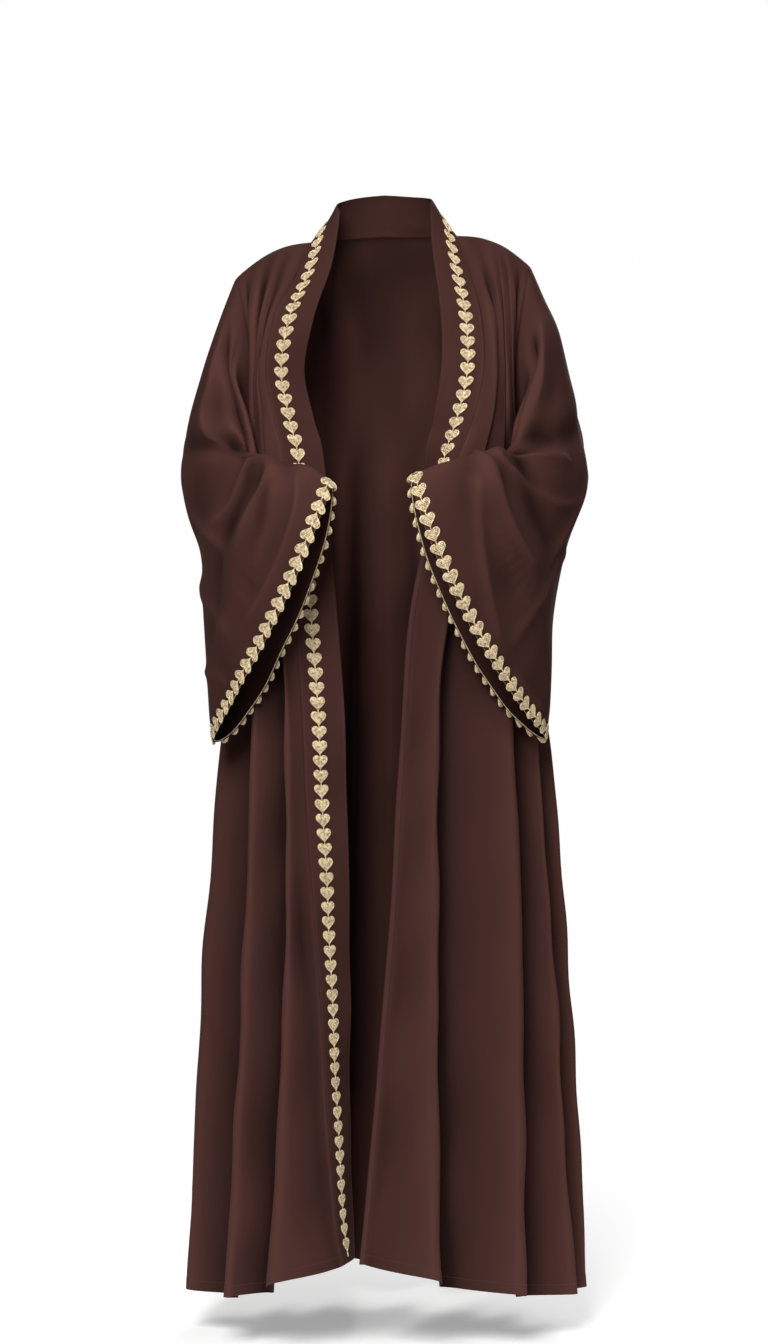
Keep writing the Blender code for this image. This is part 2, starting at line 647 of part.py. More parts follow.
def make_cuff_trim(name, cloth, normals, runs_down):
    """Heart chain round the cuff, its lobes a little past the edge; tips down or up in front."""
    strip = (cloth.grid + normals * WALL / 2)[-2:].transpose(1, 0, 2)
    strip = np.concatenate([strip, strip[:1]])
    out = normals[-2:].transpose(1, 0, 2)
    out = np.concatenate([out, out[:1]])
    if runs_down:
        strip = strip[::-1, ::-1]
        out = out[::-1, ::-1]
    surface = chain_surface(strip, out, cuff_columns(strip, runs_down), True, CUFF_TRIM_LINE)
    count = int(round(surface[1] / HEART_PITCH))
    make_chain(name, cloth.name, surface, surface[1] / count * np.arange(count), True)


def main():
    """Build every piece of the abaya."""
    for thing in list(bpy.data.objects):
        bpy.data.objects.remove(thing, do_unlink=True)
    levels = np.arange(HEM + 1)
    front_steps = np.arange(FRONT_FOLDS * STEPS_PER_FOLD + 1)
    back_steps = np.arange(BACK_FOLDS * STEPS_PER_FOLD + 1)
    band_levels = np.arange(-NECK_STEPS, HEM + 1)
    turns = np.arange(LOOP_STEPS) / LOOP_STEPS
    cloths = [Cloth("back_panel", back_grid(levels, back_steps), 1, False, "body", ("top", "first", "last"))]
    for side, word in ((RIGHT, "right"), (LEFT, "left")):
        front = front_grid(side, levels, front_steps)
        band = band_grid(side, band_levels, BAND_STATIONS)
        sleeve = sleeve_grid(side, SLEEVE_LOOPS, turns)
        cloths.append(Cloth(word + "_front_panel", front, -side, False, "body", ("top", "first", "last")))
        cloths.append(Cloth(word + "_band", band, side, False, "body", ("top", "first")))
        cloths.append(Cloth(word + "_sleeve", sleeve, side, True, "sleeve", ("top",)))
    shared = shared_normals(cloths)
    normals = {cloth.name: make_cloth(cloth, shared) for cloth in cloths}
    pieces = {cloth.name: cloth for cloth in cloths}
    for word in ("right", "left"):
        band = pieces[word + "_band"]
        make_band_trim(word + "_band_trim", band, normals[band.name])
        sleeve = pieces[word + "_sleeve"]
        make_cuff_trim(word + "_cuff_trim", sleeve, normals[sleeve.name], word == "left")


main()
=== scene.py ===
"""Open-front abaya in dark brown crepe with champagne gold heart trim.

Laid out as an add-on and run as a script: every piece of cloth is a fine shell on the form of its
solid, and the heart chains, sequins and stitches are laid flat first and then put on the cloth.
"""

from collections import namedtuple

import bmesh
import bpy
import numpy as np
from mathutils import Matrix, Vector


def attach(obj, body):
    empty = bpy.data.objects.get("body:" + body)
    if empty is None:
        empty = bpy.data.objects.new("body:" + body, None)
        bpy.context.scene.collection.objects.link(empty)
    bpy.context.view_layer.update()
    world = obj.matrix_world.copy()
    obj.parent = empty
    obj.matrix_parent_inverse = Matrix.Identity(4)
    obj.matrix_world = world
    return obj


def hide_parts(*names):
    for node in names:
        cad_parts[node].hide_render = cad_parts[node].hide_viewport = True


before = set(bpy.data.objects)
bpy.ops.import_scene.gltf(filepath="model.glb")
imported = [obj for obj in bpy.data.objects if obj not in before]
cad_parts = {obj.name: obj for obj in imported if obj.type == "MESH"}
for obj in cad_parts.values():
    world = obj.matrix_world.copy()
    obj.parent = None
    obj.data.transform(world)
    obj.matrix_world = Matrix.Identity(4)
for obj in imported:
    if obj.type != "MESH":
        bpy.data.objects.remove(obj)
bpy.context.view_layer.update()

bl_info = {
    "name": "Abaya with heart trim",
    "version": (1, 0, 0),
    "blender": (4, 5, 0),
    "location": "View3D > Sidebar > Abaya",
    "description": "Dark crepe abaya with wide bell sleeves, a plain front band and heart trim",
    "category": "Object",
}

# Sizes of the solids' form in metres: wall, band and where it turns under, lines of the trims from
# the seam and from the cuff's edge, pitch of the hearts, rise of the shoulder seam
WALL = 0.0018
BAND_WIDTH = 0.057
FOLD_FROM = 0.003
FOLD_TO = 0.011
TRIM_LINE = 0.022
CHAIN_START = 0.001
CUFF_TRIM_LINE = 0.006
HEART_PITCH = 0.0196
SHOULDER_CROWN = 0.013
BAND_SAMPLES = 228

# Section of the sleeve: softness of its corners, flatness under the cuff and the loop it starts at,
# girth in metres at the armhole and its growth a loop, and metres between two loops
ROUND_CORNER = 0.30
CUFF_BELLY = 0.38
BELLY_FROM = 4.0
GIRTH_START = 0.62
GIRTH_GROWTH = 0.045
LOOP_REACH = 0.085

# Large creases of the sleeve: points tried along each, and where they fade out, in shares of their
# length and in loops
CREASE_POINTS = 33
BOW_START = 0.2
BOW_START_LEFT = 0.25
BOW_END = 0.35
CREASE_FADE = 1.2
CUFF_ROOM = 0.3

# Body rows: fuller curve of the skirt, levels over which the shoulder seam tells, room of a fold
SKIRT_FULLNESS = 0.6
YOKE_LEVELS = 5.0
FOLD_ROOM = 1.1

# Levels count down the garment from the shoulder seam (0), steps outwards over its folds, and
# loops down the sleeve from the armhole (0) to the cuff
UNDERARM = 10
HEM = 19
NECK_STEPS = 4
STEPS_PER_FOLD = 4
FRONT_FOLDS = 4
BACK_FOLDS = 5
CUFF = 7
LEFT, RIGHT = 1, -1
SIDES = ((RIGHT, "right"), (LEFT, "left"))

# Seam between band and panel from the centre back down to the hem, outward positive.
# lead: plan angle of the band, rise: its slope, under: how far it is turned under, degrees
# Columns: level, x, y, z, lead, rise, under
BAND = {
    LEFT: [
        (-4, 0.0000, 0.070, 0.004, -90, 78, 0),
        (-3, 0.0380, 0.065, 0.003, -67, 72, 0),
        (-2, 0.0707, 0.051, 0.002, -45, 66, 0),
        (-1, 0.0920, 0.030, 0.000, -22, 60, 0),
        (0, 0.1000, 0.005, -0.002, -3, 50, 0),
        (2, 0.1170, -0.045, -0.060, 10, 27, 0),
        (4, 0.1310, -0.085, -0.120, 10, 12, 0),
        (6, 0.1340, -0.118, -0.190, 6, 3, 0),
        (8, 0.1190, -0.142, -0.260, 24, 0, 0),
        (10, 0.0940, -0.155, -0.330, 40, 0, 8),
        (11, 0.0620, -0.151, -0.420, 24, 0, 96),
        (12, 0.0400, -0.146, -0.530, 4, 0, 168),
        (13, 0.0310, -0.146, -0.650, 0, 0, 172),
        (14, 0.0230, -0.150, -0.780, 0, 0, 172),
        (15, 0.0150, -0.155, -0.920, 0, 0, 172),
        (16, 0.0040, -0.160, -1.060, 0, 0, 170),
        (17, -0.0080, -0.165, -1.200, 0, 0, 168),
        (18, -0.0200, -0.170, -1.330, 0, 0, 165),
        (19, -0.0260, -0.174, -1.390, 0, 0, 162),
    ],
    RIGHT: [
        (-4, 0.0000, 0.070, 0.004, -90, 78, 0),
        (-3, 0.0380, 0.065, 0.001, -67, 72, 0),
        (-2, 0.0707, 0.051, -0.003, -45, 66, 0),
        (-1, 0.0920, 0.030, -0.007, -22, 60, 0),
        (0, 0.1000, 0.005, -0.011, -3, 48, 0),
        (2, 0.1220, -0.042, -0.066, 8, 24, 0),
        (4, 0.1480, -0.085, -0.120, 12, 8, 0),
        (6, 0.1590, -0.115, -0.190, 28, 0, 0),
        (8, 0.1480, -0.135, -0.260, 20, 0, 0),
        (10, 0.1340, -0.145, -0.330, 16, 0, 0),
        (11, 0.1270, -0.147, -0.420, 12, 0, 0),
        (12, 0.1190, -0.148, -0.530, 6, 0, 0),
        (13, 0.1100, -0.150, -0.650, 6, 0, 0),
        (14, 0.1040, -0.155, -0.780, 17, 0, 0),
        (15, 0.0940, -0.161, -0.920, 34, 0, 0),
        (16, 0.0840, -0.169, -1.060, 48, 0, 0),
        (17, 0.0755, -0.176, -1.200, 58, 0, 0),
        (18, 0.0640, -0.181, -1.330, 68, 0, 0),
        (19, 0.0550, -0.183, -1.390, 75, 0, 0),
    ],
}

# Side seam below the underarm, outward positive
# Columns: level, x, y, z
SIDE = [
    (11, 0.1860, 0.000, -0.410),
    (12, 0.1990, 0.000, -0.530),
    (13, 0.2110, 0.000, -0.650),
    (14, 0.2220, 0.000, -0.780),
    (15, 0.2330, 0.000, -0.920),
    (16, 0.2410, 0.000, -1.060),
    (17, 0.2480, 0.000, -1.200),
    (18, 0.2550, 0.000, -1.340),
    (19, 0.2610, 0.000, -1.452),
]
SIDE_WIDTH = {LEFT: 1.0, RIGHT: 0.976}

# Centre back from the neck seam to the hem
# Columns: level, y, z
CENTRE_BACK = [
    (0, 0.070, 0.004),
    (2, 0.098, -0.050),
    (4, 0.111, -0.115),
    (6, 0.117, -0.180),
    (8, 0.118, -0.245),
    (10, 0.116, -0.320),
    (11, 0.112, -0.415),
    (12, 0.116, -0.530),
    (13, 0.128, -0.650),
    (14, 0.138, -0.780),
    (15, 0.148, -0.920),
    (16, 0.158, -1.060),
    (17, 0.168, -1.200),
    (18, 0.178, -1.340),
    (19, 0.186, -1.458),
]

# Folds from the centre outwards: where each ends as a share of the width at chest, waist and
# hem, how far it stands out there, how far its crest leans outwards and how deep its valley is
Fold = namedtuple("Fold", "chest waist hem rise_chest rise_waist rise_hem lean sink")
FRONT_FOLDS_TABLE = {
    LEFT: [
        Fold(0.25, 0.175, 0.255, 0.004, 0.011, 0.026, 0.36, 0.004),
        Fold(0.50, 0.550, 0.535, 0.006, 0.014, 0.036, 0.34, 0.006),
        Fold(0.75, 0.775, 0.800, 0.007, 0.013, 0.032, 0.26, 0.004),
        Fold(1.00, 1.000, 1.000, 0.000, 0.010, 0.024, 0.14, 0.000),
    ],
    RIGHT: [
        Fold(0.27, 0.135, 0.340, 0.005, 0.009, 0.024, 0.36, 0.006),
        Fold(0.52, 0.425, 0.520, 0.006, 0.013, 0.034, 0.34, 0.005),
        Fold(0.76, 0.520, 0.600, 0.006, 0.001, 0.001, 0.00, 0.001),
        Fold(1.00, 1.000, 1.000, 0.000, 0.011, 0.026, 0.16, 0.000),
    ],
}
BACK_FOLDS_TABLE = {
    LEFT: [
        Fold(0.20, 0.21, 0.19, 0.0015, 0.010, 0.036, 0.10, 0.006),
        Fold(0.40, 0.39, 0.41, 0.0025, 0.013, 0.030, 0.18, 0.003),
        Fold(0.60, 0.61, 0.60, 0.0030, 0.012, 0.038, -0.08, 0.007),
        Fold(0.80, 0.79, 0.81, 0.0030, 0.010, 0.030, 0.14, 0.004),
        Fold(1.00, 1.00, 1.00, 0.0020, 0.008, 0.024, 0.08, 0.000),
    ],
    RIGHT: [
        Fold(0.20, 0.19, 0.22, 0.0015, 0.012, 0.030, 0.12, 0.005),
        Fold(0.40, 0.41, 0.39, 0.0025, 0.009, 0.038, -0.10, 0.007),
        Fold(0.60, 0.58, 0.61, 0.0030, 0.013, 0.032, 0.16, 0.004),
        Fold(0.80, 0.80, 0.79, 0.0030, 0.011, 0.034, 0.10, 0.005),
        Fold(1.00, 1.00, 1.00, 0.0020, 0.008, 0.022, 0.08, 0.000),
    ],
}
FOLD_LEVELS = (0, 4, 9, 12.5, 19)

# Loops round the sleeve from the armhole to the cuff, outward positive: the crook line on the
# inside of the elbow, the outer line, the elbow line below and the line facing the body
# Columns: loop, crook x y z, outer x y z, elbow x y z, body x y z
SLEEVE = {
    LEFT: [
        (0, 0.180, -0.056, -0.170, 0.200, 0.000, -0.045, 0.176, 0.060, -0.170, 0.180, 0.002, -0.300),
        (1, 0.197, -0.086, -0.200, 0.236, -0.015, -0.135, 0.206, 0.070, -0.235, 0.206, 0.000, -0.312),
        (2, 0.177, -0.120, -0.256, 0.262, -0.032, -0.235, 0.236, 0.062, -0.310, 0.214, -0.014, -0.342),
        (3, 0.165, -0.145, -0.300, 0.268, -0.065, -0.318, 0.246, 0.034, -0.390, 0.213, -0.038, -0.380),
        (4, 0.146, -0.174, -0.309, 0.237, -0.122, -0.380, 0.224, -0.008, -0.462, 0.191, -0.084, -0.414),
        (5, 0.112, -0.208, -0.316, 0.203, -0.184, -0.432, 0.221, -0.045, -0.548, 0.177, -0.122, -0.468),
        (6, 0.074, -0.235, -0.326, 0.158, -0.228, -0.482, 0.224, -0.080, -0.628, 0.142, -0.160, -0.510),
        (7, 0.036, -0.250, -0.344, 0.104, -0.255, -0.520, 0.219, -0.110, -0.690, 0.100, -0.182, -0.546),
    ],
    RIGHT: [
        (0, 0.178, -0.056, -0.186, 0.203, 0.000, -0.062, 0.173, 0.060, -0.186, 0.176, 0.002, -0.315),
        (1, 0.196, -0.086, -0.216, 0.235, -0.012, -0.150, 0.202, 0.070, -0.250, 0.203, 0.000, -0.327),
        (2, 0.180, -0.120, -0.268, 0.263, -0.030, -0.243, 0.237, 0.062, -0.322, 0.212, -0.014, -0.356),
        (3, 0.171, -0.145, -0.309, 0.269, -0.062, -0.316, 0.247, 0.034, -0.398, 0.213, -0.038, -0.391),
        (4, 0.150, -0.172, -0.318, 0.240, -0.120, -0.380, 0.230, -0.008, -0.468, 0.203, -0.078, -0.430),
        (5, 0.124, -0.205, -0.325, 0.213, -0.182, -0.437, 0.233, -0.045, -0.554, 0.184, -0.122, -0.474),
        (6, 0.096, -0.230, -0.331, 0.181, -0.228, -0.480, 0.236, -0.080, -0.632, 0.156, -0.160, -0.515),
        (7, 0.066, -0.245, -0.350, 0.136, -0.255, -0.518, 0.230, -0.117, -0.692, 0.126, -0.187, -0.554),
    ],
}

# Large creases of the sleeve, each a bow through three points (turn round the loop, loop)
Crease = namedtuple("Crease", "turn_1 loop_1 turn_2 loop_2 turn_3 loop_3 width height")
CREASES = {
    LEFT: [
        Crease(0.20, 3.2, 0.08, 4.4, 0.90, 4.6, 0.024, -0.008),
        Crease(0.21, 3.8, 0.12, 5.4, 0.92, 5.6, 0.022, 0.009),
        Crease(0.20, 2.7, 0.06, 2.6, 0.94, 2.0, 0.022, -0.008),
    ],
    RIGHT: [
        Crease(0.20, 3.2, 0.08, 4.5, 0.90, 4.8, 0.024, -0.008),
        Crease(0.21, 3.8, 0.12, 5.6, 0.93, 6.0, 0.022, 0.009),
        Crease(0.20, 2.8, 0.06, 2.8, 0.94, 2.2, 0.022, -0.008),
    ],
}

Drape = namedtuple("Drape", "width height line")


def drapes(*rows):
    """Soft creases, each from its width and height in millimetres and the pairs of its line."""
    return [Drape(row[0] / 1000, row[1] / 1000, tuple(zip(row[2::2], row[3::2]))) for row in rows]


# Soft creases of the sleeves: a height below zero makes a trough, and the line runs over pairs of
# turn round the sleeve and loop along it
SLEEVE_DRAPES = {
    RIGHT: drapes(
        (9, -13.5, 0.12, 0.5, 0.15, 0.95, 0.177, 1.5, 0.188, 2.1, 0.221, 2.6, 0.235, 3.2),
        (4.5, -4, 0.175, 0.35, 0.2, 0.9, 0.205, 1.5, 0.215, 2.2),
        (22, -5.5, 0.13, 1.4, 0.138, 2.1, 0.15, 2.7, 0.19, 3.05, 0.22, 3.3),
        (8, 7.5, 0.105, 0.6, 0.11, 1.1, 0.092, 1.73, 0.079, 2.12, 0.088, 2.55, 0.121, 2.88, 0.165, 3.12),
        (6, 3.5, 0.19, 0.5, 0.21, 1, 0.215, 1.6, 0.228, 2.2),
        (10, -1.2, 0.04, 2.75, 0.1, 3.1, 0.15, 3.35, 0.215, 3.6),
        (18, -2, 0.01, 1.2, 0.018, 2.2, 0.03, 3.3, 0.02, 3.9),
        (6.5, 5.8, 0.2, 3.55, 0.163, 3.88, 0.079, 4.42, 0.025, 4.45, -0.03, 4.2),
        (7.5, 7.5, 0.19, 4.3, 0.163, 5.05, 0.1, 5.15, 0.004, 5.3),
        (6.5, 6, -0.08, 3.5, -0.042, 3.98, -0.013, 4.58, 0.004, 5.3),
        (8, 7, 0.19, 5.8, 0.121, 6.33, 0.021, 6.48, -0.067, 6.33),
        (6.5, 5.5, -0.14, 4.3, -0.113, 4.8, -0.075, 5.62, -0.067, 6.3),
        (6, 4.2, -0.179, 5.73, -0.133, 6.3, -0.121, 6.73),
        (16, -2.2, 0.17, 4.5, 0.09, 4.8, 0, 4.9),
        (18, -5.5, 0.13, 5.5, 0.058, 5.9, 0.013, 6.1, -0.02, 6.1),
        (15, -6, -0.025, 4.7, -0.05, 5.33, -0.105, 5.9),
        (14, -7, 0.3, 3.4, 0.38, 4.1, 0.47, 4.3),
        (12, 6.5, 0.31, 4.3, 0.4, 5.1, 0.52, 5.3, 0.6, 4.9),
        (15, -6.5, 0.32, 5.3, 0.42, 5.9, 0.55, 6.1),
        (13, 6, 0.62, 3.7, 0.6, 4.8, 0.58, 6.1),
        (15, 6, -0.16, 0.6, -0.13, 1.6, -0.14, 2.6),
        (13, -6, -0.08, 1.2, -0.05, 2.1, -0.09, 3),
        (14, -6, -0.24, 1.4, -0.2, 2.6, -0.22, 3.7),
    ),
    LEFT: drapes(
        (9, -13.5, 0.19, 0.4, 0.215, 1, 0.235, 1.7, 0.245, 2.4, 0.25, 3),
        (12, -3, 0.083, 1.4, 0.118, 2.05, 0.133, 2.43, 0.16, 3, 0.21, 3.35),
        (9, -2.2, 0.09, 2.75, 0.118, 2.92, 0.175, 3.4, 0.235, 3.5),
        (12, -1.2, 0, 2.3, 0.037, 2.6, 0.058, 3.38, 0.05, 3.6),
        (13, 6, 0.125, 0.5, 0.158, 1, 0.16, 1.6, 0.175, 2.3),
        (6.5, 6, 0.204, 3.75, 0.146, 3.55, 0.092, 3.25, 0.03, 3.15),
        (7.5, 7.5, 0.24, 4.1, 0.229, 4.8, 0.154, 5.05, 0.071, 5.33, 0.008, 5.33, -0.029, 5.12),
        (6.5, 5.8, -0.05, 3, -0.042, 3.55, -0.046, 4.23, -0.042, 5.03),
        (6.5, 6, 0.21, 4, 0.175, 4.55, 0.05, 4.2, 0.008, 3.98, -0.042, 3.5),
        (8, 7, 0.16, 5.3, 0.117, 5.68, 0.021, 6.28, -0.067, 6.7),
        (6.5, 5.5, -0.09, 4.1, -0.071, 4.67, -0.058, 5.78, -0.067, 6.62),
        (6, 4.2, -0.092, 6.7, -0.133, 6.68, -0.188, 6.62),
        (16, -2.2, 0.16, 4.8, 0.07, 4.75, -0.01, 4.45),
        (18, -5, 0.13, 5.45, 0.04, 5.75, -0.04, 5.9),
        (14, -7, 0.3, 3.5, 0.39, 4, 0.48, 4.4),
        (12, 6.5, 0.32, 4.4, 0.41, 5, 0.5, 5.4, 0.61, 5.1),
        (15, -6.5, 0.31, 5.4, 0.43, 5.8, 0.56, 6.2),
        (13, 6, 0.63, 3.6, 0.61, 4.9, 0.59, 6),
        (15, 6, -0.15, 0.7, -0.12, 1.7, -0.13, 2.5),
        (13, -6, -0.07, 1.3, -0.05, 2.2, -0.08, 2.9),
        (14, -6, -0.23, 1.5, -0.2, 2.5, -0.21, 3.8),
    ),
}

# Soft creases of the body between its main folds: the line runs over pairs of step and level
FRONT_DRAPES = {
    RIGHT: drapes(
        (5, 3.5, 11.3, 1.2, 11.5, 4.3, 11.8, 7, 12, 9.6),
        (3.5, -4.8, 13.2, 1, 13.4, 4.3, 13.7, 7, 13.9, 9.4),
        (5, -3.6, 7.9, 1.5, 7.6, 4.5, 7.2, 8.5),
        (5, 3.4, 9.6, 2, 9.3, 5.5, 9.6, 9),
        (5, 4, 4.4, 2.5, 4.2, 5, 4.6, 8, 5, 10.5),
        (3.5, -3.4, 2.6, 1.8, 2.4, 5.5, 2.2, 8, 2, 10.5),
        (10, -4, 5, 11.5, 5.1, 14, 5.2, 18.6),
        (14, -4.5, 12.9, 12.5, 13, 15.5, 13.1, 18.4),
        (11, -5.5, 0.8, 14.2, 0.9, 16.6, 1.1, 18.7),
        (30, 6.5, 15, 10.6, 15, 14, 15, 18.2),
    ),
    LEFT: drapes(
        (5, 4, 3, 2, 3.2, 5, 3.2, 8.5, 3, 10.5),
        (6, -3.4, 5.9, 1.8, 6.1, 4.8, 5.7, 8.8),
        (5, 4.2, 8.3, 1, 8.5, 5, 8.6, 9.2),
        (3.5, -5.5, 9.5, 0.8, 9.8, 4.3, 10, 8, 9.7, 10),
        (5, 4, 11.4, 1.5, 11.7, 5.6, 11.6, 9.4),
        (3.5, -5, 13.3, 1.2, 13.5, 5, 13.4, 9),
        (9, -4, 2.6, 11.8, 2.3, 14.2, 2.1, 18.5),
        (10, 3.5, 6.3, 12.2, 6.1, 15.2, 5.9, 18.9),
        (9, -4, 10.3, 11.9, 10.6, 15.4, 10.8, 18.6),
        (9, 3, 14.1, 12.4, 14.3, 15.8, 14.2, 18.8),
    ),
}
BACK_DRAPES = {
    RIGHT: drapes(
        (10, -3, 3.2, 1, 3.4, 4.5, 3.1, 9),
        (9, 3, 6.6, 1.5, 6.9, 5.5, 6.4, 10),
        (9, -2.8, 10.5, 2, 10.2, 6, 10.6, 9.5),
        (10, 2.8, 14.3, 2.5, 14, 6.5, 14.5, 10),
        (11, -3.2, 5.7, 11, 5.9, 14.5, 6.2, 18.7),
        (10, 3, 9.9, 11.6, 9.6, 15.2, 9.8, 18.9),
        (11, -3, 14.2, 12, 14.5, 15.6, 14.1, 18.5),
        (10, 2.6, 18, 12.8, 18.2, 16, 18.1, 18.8),
        (10, 2.6, 1.9, 12.4, 2.2, 15.8, 2, 18.9),
    ),
    LEFT: drapes(
        (10, -3, 2.6, 1.4, 2.9, 5, 2.7, 8.6),
        (9, 3, 7.1, 1.2, 6.8, 5.2, 7, 9.6),
        (9, -2.8, 10.9, 2.4, 11.2, 6.2, 10.8, 9.9),
        (10, 2.8, 15, 2.2, 15.2, 6, 14.8, 9.7),
        (11, -3.2, 6.1, 11.4, 6.4, 14.9, 6, 18.5),
        (10, 3, 9.6, 12, 9.9, 15.6, 10.2, 18.8),
        (11, -3, 13.8, 11.5, 13.6, 15.1, 13.9, 18.6),
        (10, 2.6, 18.2, 12.2, 17.9, 15.7, 18, 18.9),
        (10, 2.6, 2.3, 12.9, 2, 16.1, 2.2, 18.7),
    ),
}

# Gentle unevenness of hanging cloth: waves a metre along x, y and z, phase and height in metres
RIPPLES = (
    (7.0, 4.0, 3.0, 0.4, 0.0009),
    (-5.0, 8.0, 5.0, 1.9, 0.0008),
    (11.0, -6.0, 4.0, 3.1, 0.0006),
    (4.0, 13.0, -7.0, 4.4, 0.0005),
    (-15.0, 9.0, 6.0, 5.2, 0.0004),
)

# Fine grids of the cloth: rows and columns of each piece, with closer ones beside seams and hems
ROWS_PER_LEVEL = 8
HEM_ROWS = 20
HEM_ZONE = 0.45
FRONT_COLUMNS = 8
BACK_COLUMNS = 5
SLEEVE_ROWS = 19
SLEEVE_TURNS = 220
EDGE_STEPS = (0.04, 0.09, 0.16)
CUFF_ROWS = (6.90, 6.93, 6.96, 6.98)
BAND_ROWS = 10
BAND_STATIONS = 24
BAND_SEAM_STATIONS = (0.0008, 0.0016)

# Seams, hems and stitches in metres: how deep a seam dips and how wide, how far the hem is turned
# up and how much it raises the cloth, and where the rows of stitches run
SEAM_DIP = 0.0009
SEAM_SOFT = 0.0035
HEM_DEPTH = 0.016
HEM_SOFT = 0.003
HEM_RISE = 0.00035
STITCH_PITCH = 0.0032
STITCH_LENGTH = 0.0024
STITCH_RADIUS = 0.00022
BAND_STITCH_LINES = (0.0022, 0.0548)
HEM_STITCH_LINE = 0.014
STITCH_CORNERS = 5
STITCH_SPIN = 0.05
STITCH_SPREAD = 0.06
STITCH_SEED = 5

# One stitch: place along it, width and sinking at each ring, in shares of its length and radius
STITCH_RINGS = ((-0.5, 0.35, -0.6), (-0.32, 1.0, 0.0), (0.32, 1.0, 0.0), (0.5, 0.35, -0.6))

# Heart chain: the heart curve is a sum of cosines, from its highest value over its whole span
HEART_WIDTH = 0.0207
HEART_HEIGHT = 0.0200
HEART_CURVE = (13, -5, -2, -1)
HEART_TOP = 12.0
HEART_SPAN = 29.0
CURVE_POINTS = 200
HEART_POINTS = 20
CORD_RADIUS = 0.00075
CORD_SIDES = 4
CORD_SPREAD = 0.015
LINK_REACH = 0.0058
LINK_TUCK = 0.0008
CHAIN_LIFT = 0.00035
CUFF_HEART_STRETCH = 1.10
BAND_HEARTS = {LEFT: 80, RIGHT: 79}
CUFF_HEARTS = {LEFT: 45, RIGHT: 44}

# Ground of a heart: size and rise of its rings in shares of the heart and of its full rise
FILL_RISE = 0.0011
FILL_RINGS = ((1.0, 0.0), (1.0, 0.45), (0.62, 0.85))

# Sequins of a heart: spacing, clear edge, rows and columns tried, and the dome that they lie on
SEQUIN_SPACING = 0.0026
SEQUIN_EDGE = 0.0011
SEQUIN_ROWS = range(-1, 10)
SEQUIN_COLUMNS = range(-6, 7)
SEQUIN_GAP = 0.00012
DOME_REACH = 0.62
DOME_EDGE = 0.45
DOME_LOWEST = 0.4

# One sequin: corners, rise of its middle and depth of its back in shares of its radius, tilt and
# spin in radians and spread of size
SEQUIN_CORNERS = 6
SEQUIN_CUP = 0.22
SEQUIN_BACK = 0.08
SEQUIN_TILT = 0.30
SEQUIN_SPIN = 3.14
SEQUIN_SPREAD = 0.10

# Fine cord inside the edge of each cuff
EDGE_CORD_RADIUS = 0.0007
EDGE_CORD_STEPS = 240
EDGE_CORD_GAP = 0.0001

# Noises of the finishes: what they run over, scale a metre, detail and stretch
EVEN = (1.0, 1.0, 1.0)
NOISES = {
    "clouds": ("Object", 9.0, 3.0, EVEN),
    "slubs": ("UV", 420.0, 2.0, (1.0, 0.12, 1.0)),
    "grain": ("UV", 1500.0, 2.0, (1.0, 0.7, 1.0)),
    "weft": ("UV", 900.0, 1.0, (0.15, 1.0, 1.0)),
    "dents": ("UV", 55.0, 2.0, EVEN),
    "twist": ("Object", 2600.0, 1.0, EVEN),
    "glint": ("Object", 330.0, 1.0, EVEN),
    "gold_cord": ("Object", 1900.0, 2.0, EVEN),
    "gold_ground": ("Object", 1400.0, 2.0, EVEN),
    "gold_sequins": ("Object", 700.0, 2.0, EVEN),
    "paper": ("Object", 1.7, 2.0, EVEN),
    "walls": ("Object", 0.2, 1.0, EVEN),
}
WHITE = (1.0, 1.0, 1.0, 1.0)
BLACK = (0.0, 0.0, 0.0, 1.0)

# Crepe and its thread: shares of the noises in colour and relief, shades of the plain cloth, the
# painted shade of its hollows, the painted highlight of its ridges and shades of the thread, how
# much the roughness varies, strength and depth of relief
DEPTH_SHARES = (0.45, 0.30, 0.25)
RELIEF_SHARES = (0.7, 0.3)
PLAIN_SHADES = (0.86, 1.14)
PAINTED_HOLLOW_SHADES = (0.24, 0.33)
PAINTED_RIDGE_HIGHLIGHT = 1.42
THREAD_SHADES = (0.85, 1.5)
SHEEN_TINT = (0.62, 0.36, 0.30, 1.0)
SHEEN_ROUGHNESS = 0.35
CREPE_VARIES = 0.12
GRAIN_STRENGTH = 0.35
DENT_RELIEF = (0.25, 0.0006)
THREAD_ROUGHNESS = 0.6
THREAD_VARIES = 0.2
THREAD_RELIEF = (0.4, 0.0001)

# Gold: roughness, metallic and relief of each, tints of the dull gold and of its painted glints,
# shares of flecks and painted glints in the colour, and how much the roughness and the metal vary
GOLD = {"gold_cord": (0.46, 0.16, 0.5), "gold_ground": (0.60, 0.12, 0.6), "gold_sequins": (0.34, 0.12, 0.15)}
GOLD_DULL = (0.42, 0.36, 0.30)
GOLD_PAINTED_GLINT = (1.20, 1.26, 1.28)
FLECK_SHARE = 0.8
GLINT_SHARE = 2.6
GLINT_FROM = 1.05
GOLD_VARIES = 0.28
METAL_VARIES = 0.2
GOLD_DEPTH = 0.0003

# Soft creases: points between two given ones, softness of a crest, ends as a share of the length
# and what is left of the height there, spread of a trough; then steps along the ribbons
LINE_POINTS = 5
CREASE_SOFT = 0.0022
CREASE_TAPER = 0.30
CREASE_LEFT = 0.15
TROUGH_SPREAD = 1.5
CREASE_CLEAR = 0.018
RIBBON_STEP = 0.02
PROBE = 0.004

# Underarm seam of the sleeves, free edge of the bands, and how far ends lap under their seams
UNDERARM_TURN = 0.75
UNDERARM_STEPS = (0.001, 0.0025, 0.0045)
UNDERARM_DIP = -0.0007
UNDERARM_SOFT = 0.0022
SLEEVE_SEAM_CLEAR = 0.8
FREE_EDGE_DIP = -0.0004
FREE_EDGE_SOFT = 0.0025
CENTRE_LAP = 0.0004
ARMHOLE_LAP = 0.0008

# Rows of the sleeve that the cuff's ribbon is stretched between
CUFF_STRIP = (-1, -9)

